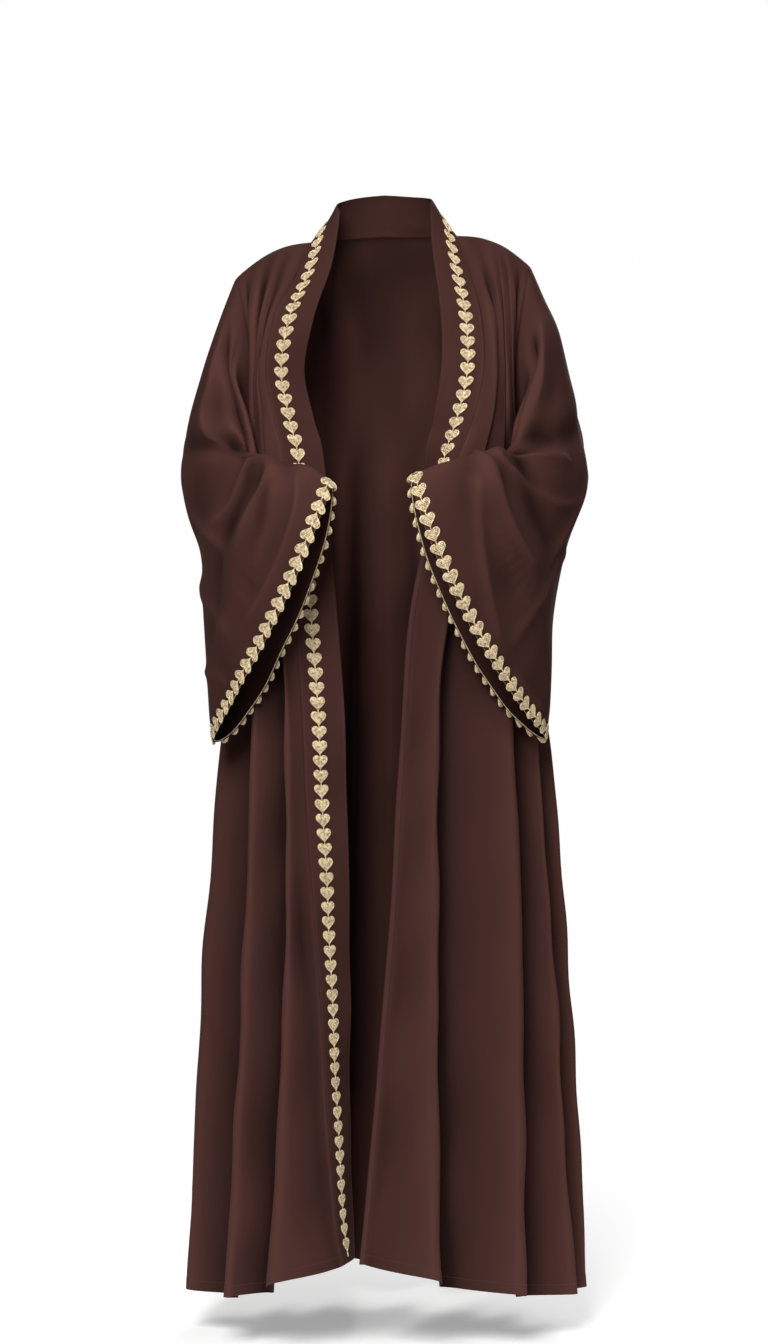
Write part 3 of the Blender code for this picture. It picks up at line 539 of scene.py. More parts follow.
# Hollows between the skirt's folds and the crests beside them: places and inward spread in shares
# of a fold, levels they grow over, the width in metres that a full one needs; then the depth in
# metres and the outward spread of each
HOLLOW_PLACE = 0.10
HOLLOW_NEAR = 0.16
CREST_SHARE = 0.25
CREST_PLACE = 0.74
HOLLOW_TOP = 8.5
HOLLOW_GROWTH = 5.0
HOLLOW_ROOM = 0.060
FRONT_HOLLOWS = {LEFT: ((0.003, 0.42), (0.014, 0.42), (0.014, 0.42), (0.012, 0.42)),
                 RIGHT: ((0.005, 0.25), (0.011, 0.28), (0.002, 0.30), (0.032, 0.50))}
BACK_HOLLOWS = ((0.008, 0.42), (0.011, 0.42), (0.012, 0.42), (0.010, 0.42), (0.011, 0.42))

# Evening out of the body's form: rounds, metres kept clear of its sides, and the levels where it
# starts, is full, starts to end and has ended
CALM_PASSES = 150
CALM_CLEAR = 0.035
FRONT_CALM = (7.5, 9.5, 11.0, 13.0)
BACK_CALM = (0.2, 1.6, 11.5, 14.0)
YOKE_CALM = (0.2, 1.6, 6.5, 10.5)

# Swing of the hem with the folds: rise for each metre a fold stands out, first level, metres clear
HEM_SWING = 0.07
SWING_TOP = 13.0
SWING_CLEAR = 0.03

# Lift of the cloth, which sets the crepe's painted shade in hollows and painted highlight on ridges:
# rows and columns it is compared over and its slope; values at which the painted shade is darkest,
# the crepe plain and the painted highlight palest
BODY_REACH = (2, 9, 1.0)
SLEEVE_REACH = (6, 7, 0.85)
BAND_REACH = (2, 5, 1.5)
LIFT_DARK = 0.22
LIFT_LIGHT = 0.54
LIFT_RIDGE = 0.80

BODY = "root"

# Camera, with its sensor in millimetres, and what it and the lights look at
EYE_HEIGHT = -0.50
CAMERA_PITCH = np.radians(1.284)
SENSOR_WIDTH = 36.0
CLIP = (0.1, 60.0)
SKY_COLOUR = (1.0, 0.992, 0.985, 1.0)
AIM_PLACE = (0.0, 0.0, -0.62)

# Soft lights: name, place, width and the setting that holds the power
LAMPS = (("key", (-0.70, -3.3, 1.45), 1.6, "key"),
         ("fill", (2.2, -2.5, 0.8), 2.6, "fill"),
         ("rim", (0.6, 2.3, 1.9), 2.0, "fill"),
         ("back", (1.3, 4.2, 1.4), 1.6, "back"))

# Floor and walls: reach of the disc, its glow, and where it fades out; reach of the walls; shades
# of both, roughness of the paper and how much it varies
PAPER_SHADES = (0.955, 0.985)
PAPER_ROUGHNESS = 0.88
PAPER_VARIES = 0.08
WALL_SHADES = (1.0, 0.996)
FLOOR_REACH = 3.4
FLOOR_SIDES = 96
FLOOR_GLOW = 0.34
FADE_FROM = 0.35
FADE_TO = 1.7
SURROUND_REACH = 26.0


def follow(table, levels):
    """Smooth values of a table's columns at any levels; the first column is the level."""
    rows = np.array(table, dtype=float)
    known, values = rows[:, 0], rows[:, 1:]
    slopes = np.gradient(values, known, axis=0)
    levels = np.asarray(levels, dtype=float)
    low = np.clip(np.searchsorted(known, levels, side="right") - 1, 0, len(known) - 2)
    step = (known[low + 1] - known[low])[:, None]
    t = ((levels - known[low]) / step[:, 0])[:, None]
    start = (1 + 2 * t) * (1 - t) ** 2 * values[low] + t * (1 - t) ** 2 * step * slopes[low]
    end = t * t * (3 - 2 * t) * values[low + 1] + t * t * (t - 1) * step * slopes[low + 1]
    return start + end


def ease(t):
    """Smooth step from 0 to 1."""
    t = np.clip(t, 0.0, 1.0)
    return t * t * (3 - 2 * t)


def unit(vectors):
    """Vectors at length one."""
    return vectors / np.linalg.norm(vectors, axis=-1, keepdims=True)


def mirrored(points, side):
    """Points with outward positive x put on the given side."""
    return points * np.array([side, 1.0, 1.0])


def sleeve_base(side, loops, turns):
    """Sleeve surface without creases, outward positive: rows of loops, columns of turns."""
    rows = follow(SLEEVE[side], loops).reshape(len(loops), 1, 4, 3)
    crook, outer, elbow, body = (rows[:, :, i] for i in range(4))
    angle = 2 * np.pi * np.asarray(turns, dtype=float)[None, :, None]
    across, along = np.cos(angle), np.sin(angle)
    soft = np.sqrt(across ** 2 + ROUND_CORNER ** 2)
    fix = ROUND_CORNER / 2 * along ** 2
    middle = (crook + elbow) / 2
    belly = CUFF_BELLY * ease((np.asarray(loops) - BELLY_FROM) / (CUFF - BELLY_FROM))[:, None, None]
    return (middle + (crook - elbow) / 2 * along
            + (outer - middle) * ((soft + across) / 2 - fix)
            + (body - middle) * ((soft - across) / 2 - fix)
            + (outer - body) / 2 * across * np.maximum(-along, 0.0) * belly)


def crease_height(crease, loops, turns):
    """Height of one crease over the sleeve's surface."""
    loop, turn = np.meshgrid(loops, turns, indexing="ij")
    turn = (turn + 0.5) % 1.0 - 0.5
    ends = [(crease.turn_1, crease.loop_1), (crease.turn_2, crease.loop_2), (crease.turn_3, crease.loop_3)]
    ends = [((a + 0.5) % 1.0 - 0.5, b) for a, b in ends]
    girth = GIRTH_START + GIRTH_GROWTH * loop
    nearest = np.full(loop.shape, np.inf)
    place = np.zeros(loop.shape)
    for t in np.linspace(0.0, 1.0, CREASE_POINTS):
        weights = ((1 - t) * (1 - 2 * t), 4 * t * (1 - t), t * (2 * t - 1))
        at = sum(w * e[0] for w, e in zip(weights, ends))
        on = sum(w * e[1] for w, e in zip(weights, ends))
        away = np.hypot((turn - at) * girth, (loop - on) * LOOP_REACH)
        place = np.where(away < nearest, t, place)
        nearest = np.minimum(nearest, away)
    taper = ease(place / BOW_START + BOW_START_LEFT) * ease((1 - place) / BOW_END)
    return crease.height * np.exp(-(nearest / crease.width) ** 2) * taper


def sleeve_grid(side, loops, turns):
    """Sleeve surface with its creases."""
    step = 0.001
    base = sleeve_base(side, loops, turns)
    round_way = sleeve_base(side, loops, turns + step) - sleeve_base(side, loops, turns - step)
    down_way = (sleeve_base(side, np.minimum(loops + step, CUFF), turns)
                - sleeve_base(side, np.maximum(loops - step, 0), turns))
    out = unit(np.cross(round_way, down_way))
    height = sum(crease_height(crease, loops, turns) for crease in CREASES[side])
    height = height * (ease(loops / CREASE_FADE) * ease((CUFF + CUFF_ROOM - loops) / CREASE_FADE))[:, None]
    return mirrored(base + out * height[:, :, None], side)


def armhole(side, turns):
    """Armhole seam, outward positive."""
    return sleeve_base(side, np.zeros(1), turns)[0]


def side_line(side, levels, turn_sign):
    """Outer end of each body row: armhole above the underarm, side seam below."""
    under = armhole(side, [0.5])[0]
    lower = [(level, x * SIDE_WIDTH[side], y, z) for level, x, y, z in SIDE]
    seam = follow([(UNDERARM, *under)] + lower, np.maximum(levels, UNDERARM))
    hole = armhole(side, turn_sign * np.minimum(levels, UNDERARM) / (2 * UNDERARM))
    return np.where((levels < UNDERARM)[:, None], hole, seam)


def fold_values(folds, levels):
    """Ends, heights, leans and valley depths of the folds at each level."""
    count = len(folds)
    ends = np.zeros((len(levels), count + 1))
    rises = np.zeros((len(levels), count))
    sinks = np.zeros((len(levels), count + 1))
    for i, fold in enumerate(folds):
        even = (i + 1) / count
        shares = list(zip(FOLD_LEVELS, (even, fold.chest, fold.chest, fold.waist, fold.hem)))
        ends[:, i + 1] = follow(shares, levels)[:, 0]
        heights = (0.0, fold.rise_chest, fold.rise_chest, fold.rise_waist, fold.rise_hem)
        rises[:, i] = follow(list(zip(FOLD_LEVELS, heights)), levels)[:, 0]
        sinks[:, i + 1] = fold.sink * ease((levels - UNDERARM) / (HEM - UNDERARM))
    return ends, rises, sinks


def body_rows(side, levels, steps, folds, inner, outer, start, facing):
    """Rows of a body panel: a base arc from the inner to the outer line, with its folds."""
    count = len(folds)
    ends, rises, sinks = fold_values(folds, levels)
    which = np.clip((steps / STEPS_PER_FOLD).astype(int), 0, count - 1)
    phase = steps / STEPS_PER_FOLD - which
    share = ends[:, which] + (ends[:, which + 1] - ends[:, which]) * phase
    roundness = ease(levels / UNDERARM)[:, None]
    over = share + (np.sin(np.pi / 2 * share) - share) * roundness
    back = share + (1 - np.cos(np.pi / 2 * share) - share) * roundness
    power = 1 + SKIRT_FULLNESS * ease((levels - UNDERARM) / (HEM - UNDERARM))[:, None]
    down = 1 - (1 - over) ** power
    mix = np.stack([over, back, down], axis=-1)
    base = inner[:, None] + (outer - inner)[:, None] * mix
    fade = 1 - ease(levels / YOKE_LEVELS)
    base = base + fade[:, None, None] * (start - base[0])[None]
    along = np.gradient(base[:, :, :2], axis=1)
    along = unit(along + 1e-12)
    out = np.stack([along[:, :, 1], -along[:, :, 0]], axis=-1) * facing
    wave = 0.5 - 0.5 * np.cos(2 * np.pi * phase)
    sink = sinks[:, which] + (sinks[:, which + 1] - sinks[:, which]) * ease(phase)
    height = rises[:, which] * wave - sink
    reach = np.linalg.norm((outer - inner)[:, :2], axis=-1)[:, None]
    width = (ends[:, which + 1] - ends[:, which]) * reach * FOLD_ROOM
    lean = np.array([fold.lean for fold in folds])[which]
    shift = lean * width * wave * ease(levels / UNDERARM)[:, None]
    moved = base.copy()
    moved[:, :, :2] += out * height[:, :, None] + along * shift[:, :, None]
    return moved


def shoulder(side, shares):
    """Shoulder seam from the neck to the armhole, outward positive."""
    neck = follow(BAND[side], [0.0])[0, :3]
    tip = armhole(side, [0.0])[0]
    shares = np.asarray(shares, dtype=float)[:, None]
    line = neck + (tip - neck) * shares
    line[:, 2] += SHOULDER_CROWN * np.sin(np.pi * shares[:, 0])
    return line


def front_grid(side, levels, steps):
    """Front panel: rows from the shoulder seam to the hem, columns from band to side."""
    inner = follow(BAND[side], levels)[:, :3]
    outer = side_line(side, levels, 1.0)
    start = shoulder(side, steps / (FRONT_FOLDS * STEPS_PER_FOLD))
    rows = body_rows(side, levels, steps, FRONT_FOLDS_TABLE[side], inner, outer, start, 1)
    return mirrored(rows, side)


def back_half(side, levels, steps):
    """Half of the back: columns from the centre back out to the side."""
    centre = follow(CENTRE_BACK, levels)
    inner = np.column_stack([np.zeros(len(levels)), centre])
    outer = side_line(side, levels, -1.0)
    neck = follow(BAND[side], np.minimum(steps - NECK_STEPS, 0.0))[:, :3]
    shares = (steps - NECK_STEPS) / (BACK_FOLDS * STEPS_PER_FOLD - NECK_STEPS)
    start = np.where((steps <= NECK_STEPS)[:, None], neck, shoulder(side, np.maximum(shares, 0.0)))
    rows = body_rows(side, levels, steps, BACK_FOLDS_TABLE[side], inner, outer, start, -1)
    return mirrored(rows, side)


def back_grid(levels, steps):
    """Whole back from the right side to the left side."""
    left = back_half(LEFT, levels, steps)
    right = back_half(RIGHT, levels, steps)
    return np.concatenate([right[:, :0:-1], left], axis=1)


def band_grid(side, levels, stations):
    """Front band: rows from the centre back to the hem, columns from the seam to the free edge."""
    rows = follow(BAND[side], levels)
    seam = rows[:, :3]
    lead, rise, under = (np.radians(rows[:, i]) for i in (3, 4, 5))
    fine = np.linspace(0.0, BAND_WIDTH, BAND_SAMPLES + 1)
    middle = (fine[1:] + fine[:-1]) / 2
    turned = under[:, None] * ease((middle - FOLD_FROM) / (FOLD_TO - FOLD_FROM))
    plan = lead[:, None] + turned
    flat = np.cos(rise)[:, None]
    ways = np.stack([-np.cos(plan) * flat, np.sin(plan) * flat, np.sin(rise)[:, None] + 0 * plan], axis=-1)
    path = np.cumsum(ways * np.diff(fine)[None, :, None], axis=1)
    path = np.concatenate([np.zeros((len(levels), 1, 3)), path], axis=1)
    places = np.asarray(stations) / BAND_WIDTH * (len(fine) - 1)
    low = np.clip(places.astype(int), 0, len(fine) - 2)
    part = (places - low)[None, :, None]
    points = seam[:, None] + path[:, low] * (1 - part) + path[:, low + 1] * part
    return mirrored(points, side)


def grid_normals(grid, facing, ring):
    """Unit normals of a grid of points, averaged over the cells that meet."""
    around = np.concatenate([grid, grid[:, :1]], axis=1) if ring else grid
    one = around[1:, 1:] - around[:-1, :-1]
    two = around[1:, :-1] - around[:-1, 1:]
    cells = unit(np.cross(one, two)) * facing
    total = np.zeros(around.shape)
    for rows in (slice(0, -1), slice(1, None)):
        for cols in (slice(0, -1), slice(1, None)):
            total[rows, cols] += cells
    if ring:
        total[:, 0] += total[:, -1]
        total = total[:, :-1]
    return unit(total)


def smooth_line(points):
    """Even run of points through a short list of pairs."""
    table = [(i, *point) for i, point in enumerate(points)]
    return follow(table, np.linspace(0, len(points) - 1, LINE_POINTS * (len(points) - 1) + 1))


def drape_heights(creases, over, down, over_reach, down_reach, wraps):
    """Heights of soft creases on a grid; the reaches are the metres in one step and one level."""
    height = np.zeros(over.shape)
    for drape in creases:
        line = smooth_line(drape.line)
        nearest = np.full(over.shape, np.inf)
        place = np.zeros(over.shape)
        for i, (first, last) in enumerate(zip(line, line[1:])):
            gap = over - first[0]
            if wraps:
                gap = (gap + 0.5) % 1.0 - 0.5
            gap_x, gap_y = gap * over_reach, (down - first[1]) * down_reach
            run_x, run_y = (last[0] - first[0]) * over_reach, (last[1] - first[1]) * down_reach
            t = np.clip((gap_x * run_x + gap_y * run_y) / (run_x ** 2 + run_y ** 2), 0.0, 1.0)
            away = np.hypot(gap_x - t * run_x, gap_y - t * run_y)
            place = np.where(away < nearest, (i + t) / (len(line) - 1), place)
            nearest = np.minimum(nearest, away)
        if drape.height > 0:
            sharp = np.exp(-(np.hypot(nearest, CREASE_SOFT) - CREASE_SOFT) / drape.width)
        else:
            sharp = np.exp(-(nearest / (TROUGH_SPREAD * drape.width)) ** 2)
        ends = (ease(place / CREASE_TAPER + CREASE_LEFT)
                * ease((1 - place) / CREASE_TAPER + CREASE_LEFT))
        height += drape.height * sharp * ends
    return height


def hollow_heights(over, down, hollows, fold_widths):
    """Soft hollow on the inner flank of every skirt fold; the hollows are one per fold."""
    fold = np.abs(over) / STEPS_PER_FOLD
    total = np.zeros(over.shape)
    for place, (depth, spread) in enumerate(hollows):
        away = fold - place - HOLLOW_PLACE
        reach = np.where(away < 0, HOLLOW_NEAR, spread)
        total -= depth * np.exp(-(away / reach) ** 2)
        beyond = fold - place - CREST_PLACE
        total += depth * CREST_SHARE * np.exp(-(beyond / np.where(beyond < 0, spread, HOLLOW_NEAR)) ** 2)
    room = np.clip(fold_widths / HOLLOW_ROOM, 0.0, 1.0)
    return total * room * ease((down - HOLLOW_TOP) / HOLLOW_GROWTH)


def averaged(values, axis, reach, beyond):
    """Values averaged over the steps on either side along an axis; beyond says how they go on."""
    pads = [(0, 0)] * values.ndim
    pads[axis] = (reach + 1, reach)
    total = np.cumsum(np.pad(values, pads, **beyond), axis=axis)
    count = values.shape[axis]
    high = np.take(total, range(2 * reach + 1, 2 * reach + 1 + count), axis=axis)
    return (high - np.take(total, range(count), axis=axis)) / (2 * reach + 1)


def lift_of(points, normals, ring, reach):
    """How far each point stands out of the cloth round it, from 0 in a deep hollow to 1 on a ridge."""
    smooth = points
    for axis, steps in ((1, reach[1]), (0, reach[0])):
        beyond = {"mode": "wrap"} if ring and axis == 1 else {"mode": "reflect", "reflect_type": "odd"}
        for _ in range(2):
            smooth = averaged(smooth, axis, steps, beyond)
    above = np.sum((points - smooth) * normals, axis=-1)
    spacing = np.linalg.norm(np.gradient(points, axis=1), axis=-1)
    return np.clip(0.5 + above / (reach[2] * reach[1] * spacing), 0.0, 1.0)


def ripple_heights(grid):
    """Slight unevenness at points of hanging cloth."""
    total = np.zeros(grid.shape[:2])
    for wave_x, wave_y, wave_z, phase, height in RIPPLES:
        turns = grid[:, :, 0] * wave_x + grid[:, :, 1] * wave_y + grid[:, :, 2] * wave_z
        total += height * np.sin(2 * np.pi * turns + phase)
    return total


def run_lengths(grid, axis):
    """Lengths along the rows or columns of a grid, from its first point."""
    steps = np.linalg.norm(np.diff(grid, axis=axis), axis=-1)
    start = np.zeros_like(np.take(steps, [0], axis=axis))
    return np.concatenate([start, np.cumsum(steps, axis=axis)], axis=axis)


def seam_dip(distance):
    """How far cloth sinks at a distance from its seam."""
    return -SEAM_DIP * np.exp(-(distance / SEAM_SOFT) ** 2)


def hem_height(distance):
    """Rise of the turned-up hem at a distance from its edge."""
    return HEM_RISE * (1 - ease((distance - HEM_DEPTH) / HEM_SOFT + 0.5))


def fine_lines(total, each, at_start, at_end):
    """Even steps, with closer ones beside the seams."""
    steps = [np.linspace(0.0, total, total * each + 1)]
    if at_start:
        steps.append(np.array(EDGE_STEPS))
    if at_end:
        steps.append(total - np.array(EDGE_STEPS))
    return np.unique(np.concatenate(steps).round(6))


def body_levels():
    """Levels of the body's fine rows, closer together at the shoulder seam and the hem."""
    upper = fine_lines(HEM, ROWS_PER_LEVEL, True, False)
    upper = upper[upper < HEM - HEM_ZONE]
    return np.concatenate([upper, np.linspace(HEM - HEM_ZONE, HEM, HEM_ROWS)])


def softened(grid, calm_over, calm_down):
    """Grid evened out along its rows and columns, the more the calmer it is there."""
    for _ in range(CALM_PASSES):
        across, along = np.zeros_like(grid), np.zeros_like(grid)
        across[:, 1:-1] = (grid[:, :-2] - 2 * grid[:, 1:-1] + grid[:, 2:]) / 4
        along[1:-1] = (grid[:-2] - 2 * grid[1:-1] + grid[2:]) / 4
        grid = grid + across * calm_over[:, :, None] + along * calm_down[:, :, None]
    return grid


def span(values, first, full, last, gone):
    """Rises from 0 to 1 between first and full, and falls back between last and gone."""
    return ease((values - first) / (full - first)) * (1 - ease((values - last) / (gone - last)))


def clear_of_sides(grid, reach):
    """Rises from 0 at both sides of a grid to 1 at a distance from them."""
    widths = run_lengths(grid, 1)
    return ease(widths / reach) * ease((widths[:, -1:] - widths) / reach)


def hung(grid, down, fold_columns):
    """Skirt whose hem rises a little where a fold stands out and hangs lower in its valleys."""
    away = np.hypot(grid[:, :, 0], grid[:, :, 1])
    level = away
    for _ in range(2):
        level = averaged(level, 1, fold_columns // 2, {"mode": "edge"})
    lower = ease((down - SWING_TOP) / (HEM - SWING_TOP))[:, None]
    swung = grid.copy()
    swung[:, :, 2] += HEM_SWING * (away - level) * clear_of_sides(grid, SWING_CLEAR) * lower
    return swung


def shaped(grid, facing, ring, heights):
    """Outer face and normals of cloth whose middle is raised by the heights."""
    raised = grid + grid_normals(grid, facing, ring) * heights[:, :, None]
    normals = grid_normals(raised, facing, ring)
    return raised + normals * WALL / 2, normals


def body_cloth(grid, facing, creases, hollows, over, down):
    """Outer face and normals of a body panel with its creases, seams and hem."""
    widths = run_lengths(grid, 1)
    depths = run_lengths(grid, 0)
    over_reach = (widths[:, -1] / (over[-1] - over[0]))[:, None]
    down_reach = np.gradient(depths, down, axis=0)
    over_grid, down_grid = np.meshgrid(over, down)
    heights = drape_heights(creases, over_grid, down_grid, over_reach, down_reach, False)
    fold_widths = STEPS_PER_FOLD * np.gradient(widths, over, axis=1)
    heights = heights + ripple_heights(grid) + hollow_heights(over_grid, down_grid, hollows, fold_widths)
    dips = np.zeros(heights.shape)
    for distance in (depths, widths, widths[:, -1:] - widths):
        heights = heights * ease(distance / CREASE_CLEAR)
        dips = np.minimum(dips, seam_dip(distance))
    return shaped(grid, facing, False, heights + dips + hem_height(depths[-1:] - depths))


def cells(grid):
    """Corners of every cell of a grid in turn."""
    return np.stack([grid[:-1, :-1], grid[:-1, 1:], grid[1:, 1:], grid[1:, :-1]], axis=-1).reshape(-1, 4)


def borders(grid, ring):
    """Both ends of every step along the free borders of a grid."""
    lines = [(grid[0, :-1], grid[0, 1:]), (grid[-1, 1:], grid[-1, :-1])]
    if not ring:
        lines += [(grid[1:, 0], grid[:-1, 0]), (grid[:-1, -1], grid[1:, -1])]
    return np.concatenate([np.stack(line, axis=1) for line in lines])


def cloth_object(name, surface, facing, ring, reach, cloth):
    """Closed shell of cloth under its outer face, with a map in metres that follows the cloth."""
    outer, normals = surface
    count = outer.shape[0] * outer.shape[1]
    index = np.arange(count).reshape(outer.shape[:2])
    closed = outer
    if ring:
        index, closed = (np.concatenate([part, part[:, :1]], axis=1) for part in (index, outer))
    flat = np.meshgrid(run_lengths(closed, 1).mean(axis=0), run_lengths(outer, 0).mean(axis=1))
    turn = -1 if facing < 0 else 1
    rims = borders(index, ring)[:, ::turn]
    faces, over, down = (np.concatenate([cells(part)[:, ::turn], cells(part)[:, ::-turn],
                                         borders(part, ring)[:, ::turn][:, [1, 0, 0, 1]]])
                         for part in (index, *flat))
    faces[(len(faces) - len(rims)) // 2:-len(rims)] += count
    faces[-len(rims):, 2:] += count
    vertices = np.concatenate([outer.reshape(-1, 3), (outer - normals * cloth.thickness).reshape(-1, 3)])
    mesh = bpy.data.meshes.new(name)
    mesh.from_pydata(vertices.tolist(), [], faces.tolist())
    mesh.update()
    corners = np.stack([over.ravel(), down.ravel()], axis=1).astype(np.float32)
    mesh.uv_layers.new(name="cloth").data.foreach_set("uv", corners.ravel())
    # Lift sets the painted shade in the crepe's hollows and the painted highlight on its ridges; the inner
    # face takes it turned round
    lift = lift_of(outer, normals, ring, reach).ravel()
    values = np.concatenate([lift, 1 - lift]).astype(np.float32)
    mesh.attributes.new("lift", "FLOAT", "POINT").data.foreach_set("value", values)
    mark_rims(mesh, count, rims)
    return finished(name, mesh, [crepe_finish(cloth)])


def mark_rims(mesh, count, pairs):
    """Keep the edges between faces and rims crisp in the shading."""
    wanted = {tuple(sorted(pair)) for pair in pairs.tolist()}
    wanted |= {(a + count, b + count) for a, b in wanted}
    ends = np.empty(2 * len(mesh.edges), dtype=np.int32)
    mesh.edges.foreach_get("vertices", ends)
    crisp = [tuple(sorted(pair)) in wanted for pair in ends.reshape(-1, 2).tolist()]
    mesh.attributes.new("sharp_edge", "BOOLEAN", "EDGE").data.foreach_set("value", crisp)


def finished(name, mesh, materials):
    """Smooth-shaded object in the scene with its materials."""
    for material in materials:
        mesh.materials.append(material)
    mesh.polygons.foreach_set("use_smooth", [True] * len(mesh.polygons))
    mesh.update()
    thing = bpy.data.objects.new(name, mesh)
    bpy.context.scene.collection.objects.link(thing)
    return thing


class Ribbon:
    """Strip of cloth found by the length along it and the distance across it."""

    def __init__(self, points, normals, middle, closed):
        cloth = np.concatenate([points, normals], axis=-1)
        self.cloth = np.concatenate([cloth, cloth[:1]]) if closed else cloth
        self.middle, self.closed = middle, closed
        self.widths = run_lengths(self.cloth[:, :, :3], 1)
        last = len(self.cloth) - 1
        self.rows = np.clip(np.arange(last + 1 - 1e-9, step=RIBBON_STEP), 0, last)
        self.lengths = run_lengths(self.on_rows(self.rows, np.full(len(self.rows), middle))[0], 0)
        self.total = self.lengths[-1]

    def on_rows(self, row, across):
        """Point and normal at a fraction of a row and a distance across it."""
        low = np.clip(row.astype(int), 0, len(self.cloth) - 2)
        down = row - low
        widths = self.widths[low] * (1 - down)[:, None] + self.widths[low + 1] * down[:, None]
        col = np.clip((widths <= across[:, None]).sum(axis=1) - 1, 0, widths.shape[1] - 2)
        pick = np.arange(len(row))
        over = (across - widths[pick, col]) / (widths[pick, col + 1] - widths[pick, col])
        weights = [((1 - down) * (1 - over), low, col), ((1 - down) * over, low, col + 1),
                   (down * (1 - over), low + 1, col), (down * over, low + 1, col + 1)]
        found = sum(w[:, None] * self.cloth[r, c] for w, r, c in weights)
        return found[:, :3], unit(found[:, 3:])

    def at(self, along, across):
        """Point and normal at a length along the strip, across being from its middle."""
        place = along % self.total if self.closed else np.clip(along, 0.0, self.total)
        return self.on_rows(np.interp(place, self.lengths, self.rows), self.middle + across)

    def laid(self, flat, lift):
        """Flat vertices, along, across and height, put on the cloth without turning them over."""
        place, normal = self.at(np.array([0.0, PROBE, 0.0]), np.array([0.0, 0.0, PROBE]))
        hand = np.sign(np.dot(np.cross(place[1] - place[0], place[2] - place[0]), normal[0]))
        points, normals = self.at(flat[:, 0], flat[:, 1] * hand)
        return points + normals * (flat[:, 2] + lift)[:, None]


def heart_outline(shrink):
    """Points round a heart from its cleft, along and across, drawn in by a distance."""
    t = np.linspace(0.0, np.pi, CURVE_POINTS)
    across = np.sin(t) ** 3 / 2 * HEART_WIDTH
    curve = sum(size * np.cos((i + 1) * t) for i, size in enumerate(HEART_CURVE))
    along = (HEART_TOP - curve) / HEART_SPAN * HEART_HEIGHT
    half = np.stack([along, across], axis=1)
    lengths = run_lengths(half, 0)
    even = np.linspace(0.0, lengths[-1], HEART_POINTS // 2 + 1)
    half = np.stack([np.interp(even, lengths, half[:, i]) for i in (0, 1)], axis=1)
    whole = np.concatenate([half, half[-2:0:-1] * np.array([1.0, -1.0])])
    return whole - outward(whole) * shrink


def outward(outline):
    """Unit directions out of a closed outline in its plane."""
    run = np.roll(outline, -1, axis=0) - np.roll(outline, 1, axis=0)
    return unit(np.stack([-run[:, 1], run[:, 0]], axis=1))


def ring_angles(corners):
    """Angles of the corners of a small ring."""
    return 2 * np.pi * np.arange(corners) / corners


def tube(line, ways, closed, radius):
    """Cord of few sides along a flat line: vertices and faces."""
    angle = ring_angles(CORD_SIDES)
    out = line[:, None] + ways[:, None] * np.cos(angle)[None, :, None] * radius
    up = radius * (1 + np.sin(angle))[None, :, None] + np.zeros((len(line), CORD_SIDES, 1))
    vertices = np.concatenate([out, up], axis=2).reshape(-1, 3)
    faces = []
    for i in range(len(line) if closed else len(line) - 1):
        j = (i + 1) % len(line)
        for k in range(CORD_SIDES):
            m = (k + 1) % CORD_SIDES
            faces.append((CORD_SIDES * i + k, CORD_SIDES * j + k, CORD_SIDES * j + m, CORD_SIDES * i + m))
    if not closed:
        faces.append(tuple(range(CORD_SIDES)))
        faces.append(tuple(CORD_SIDES * (len(line) - 1) + k for k in reversed(range(CORD_SIDES))))
    return vertices, faces


def merged(parts):
    """Vertices and faces of several parts as one."""
    starts = np.cumsum([0] + [len(points) for points, _ in parts]).tolist()
    faces = [tuple(start + corner for corner in row)
             for start, (_, rows) in zip(starts, parts) for row in rows]
    return np.concatenate([points for points, _ in parts]), faces


def shape_object(name, vertices, faces):
    """Small shape that the node trees repeat, with its faces turned outwards."""
    mesh = bpy.data.meshes.new(name)
    mesh.from_pydata(np.asarray(vertices).tolist(), [], [tuple(map(int, face)) for face in faces])
    shell = bmesh.new()
    shell.from_mesh(mesh)
    bmesh.ops.recalc_face_normals(shell, faces=shell.faces)
    shell.to_mesh(mesh)
    shell.free()
    mesh.polygons.foreach_set("use_smooth", [True] * len(mesh.polygons))
    return bpy.data.objects.new(name, mesh)


def heart_cord_shape():
    """Raised outline cord of one heart and the short link to the next."""
    outline = heart_outline(CORD_RADIUS)
    start = HEART_HEIGHT - LINK_TUCK
    link = np.array([[start, 0.0], [start + LINK_REACH, 0.0]])
    sideways = np.array([[0.0, 1.0], [0.0, 1.0]])
    return merged([tube(outline, outward(outline), True, CORD_RADIUS),
                   tube(link, sideways, False, CORD_RADIUS)])


def heart_fill_shape():
    """Domed ground of one heart under its sequins."""
    outline = heart_outline(CORD_RADIUS)
    centre = outline.mean(axis=0)
    count = len(outline)
    vertices = [np.column_stack([centre + (outline - centre) * size, np.full(count, rise * FILL_RISE)])
                for size, rise in FILL_RINGS]
    vertices = np.concatenate(vertices + [[[*centre, 0.0]], [[*centre, FILL_RISE]]])
    under = len(FILL_RINGS) * count
    faces = []
    for i in range(count):
        j = (i + 1) % count
        faces.append((i, j, under))
        faces += [(k * count + i, k * count + j, (k + 1) * count + j, (k + 1) * count + i) for k in (0, 1)]
        faces.append((2 * count + i, 2 * count + j, under + 1))
    return vertices, faces


def sequin_shape(radius):
    """Thin cupped disc with few corners."""
    angle = ring_angles(SEQUIN_CORNERS)
    rim = np.stack([np.cos(angle) * radius, np.sin(angle) * radius, 0 * angle], axis=1)
    vertices = np.concatenate([rim, [[0.0, 0.0, radius * SEQUIN_CUP], [0.0, 0.0, -radius * SEQUIN_BACK]]])
    top, under = SEQUIN_CORNERS, SEQUIN_CORNERS + 1
    pairs = [(i, (i + 1) % SEQUIN_CORNERS) for i in range(SEQUIN_CORNERS)]
    return vertices, [(i, j, top) for i, j in pairs] + [(j, i, under) for i, j in pairs]


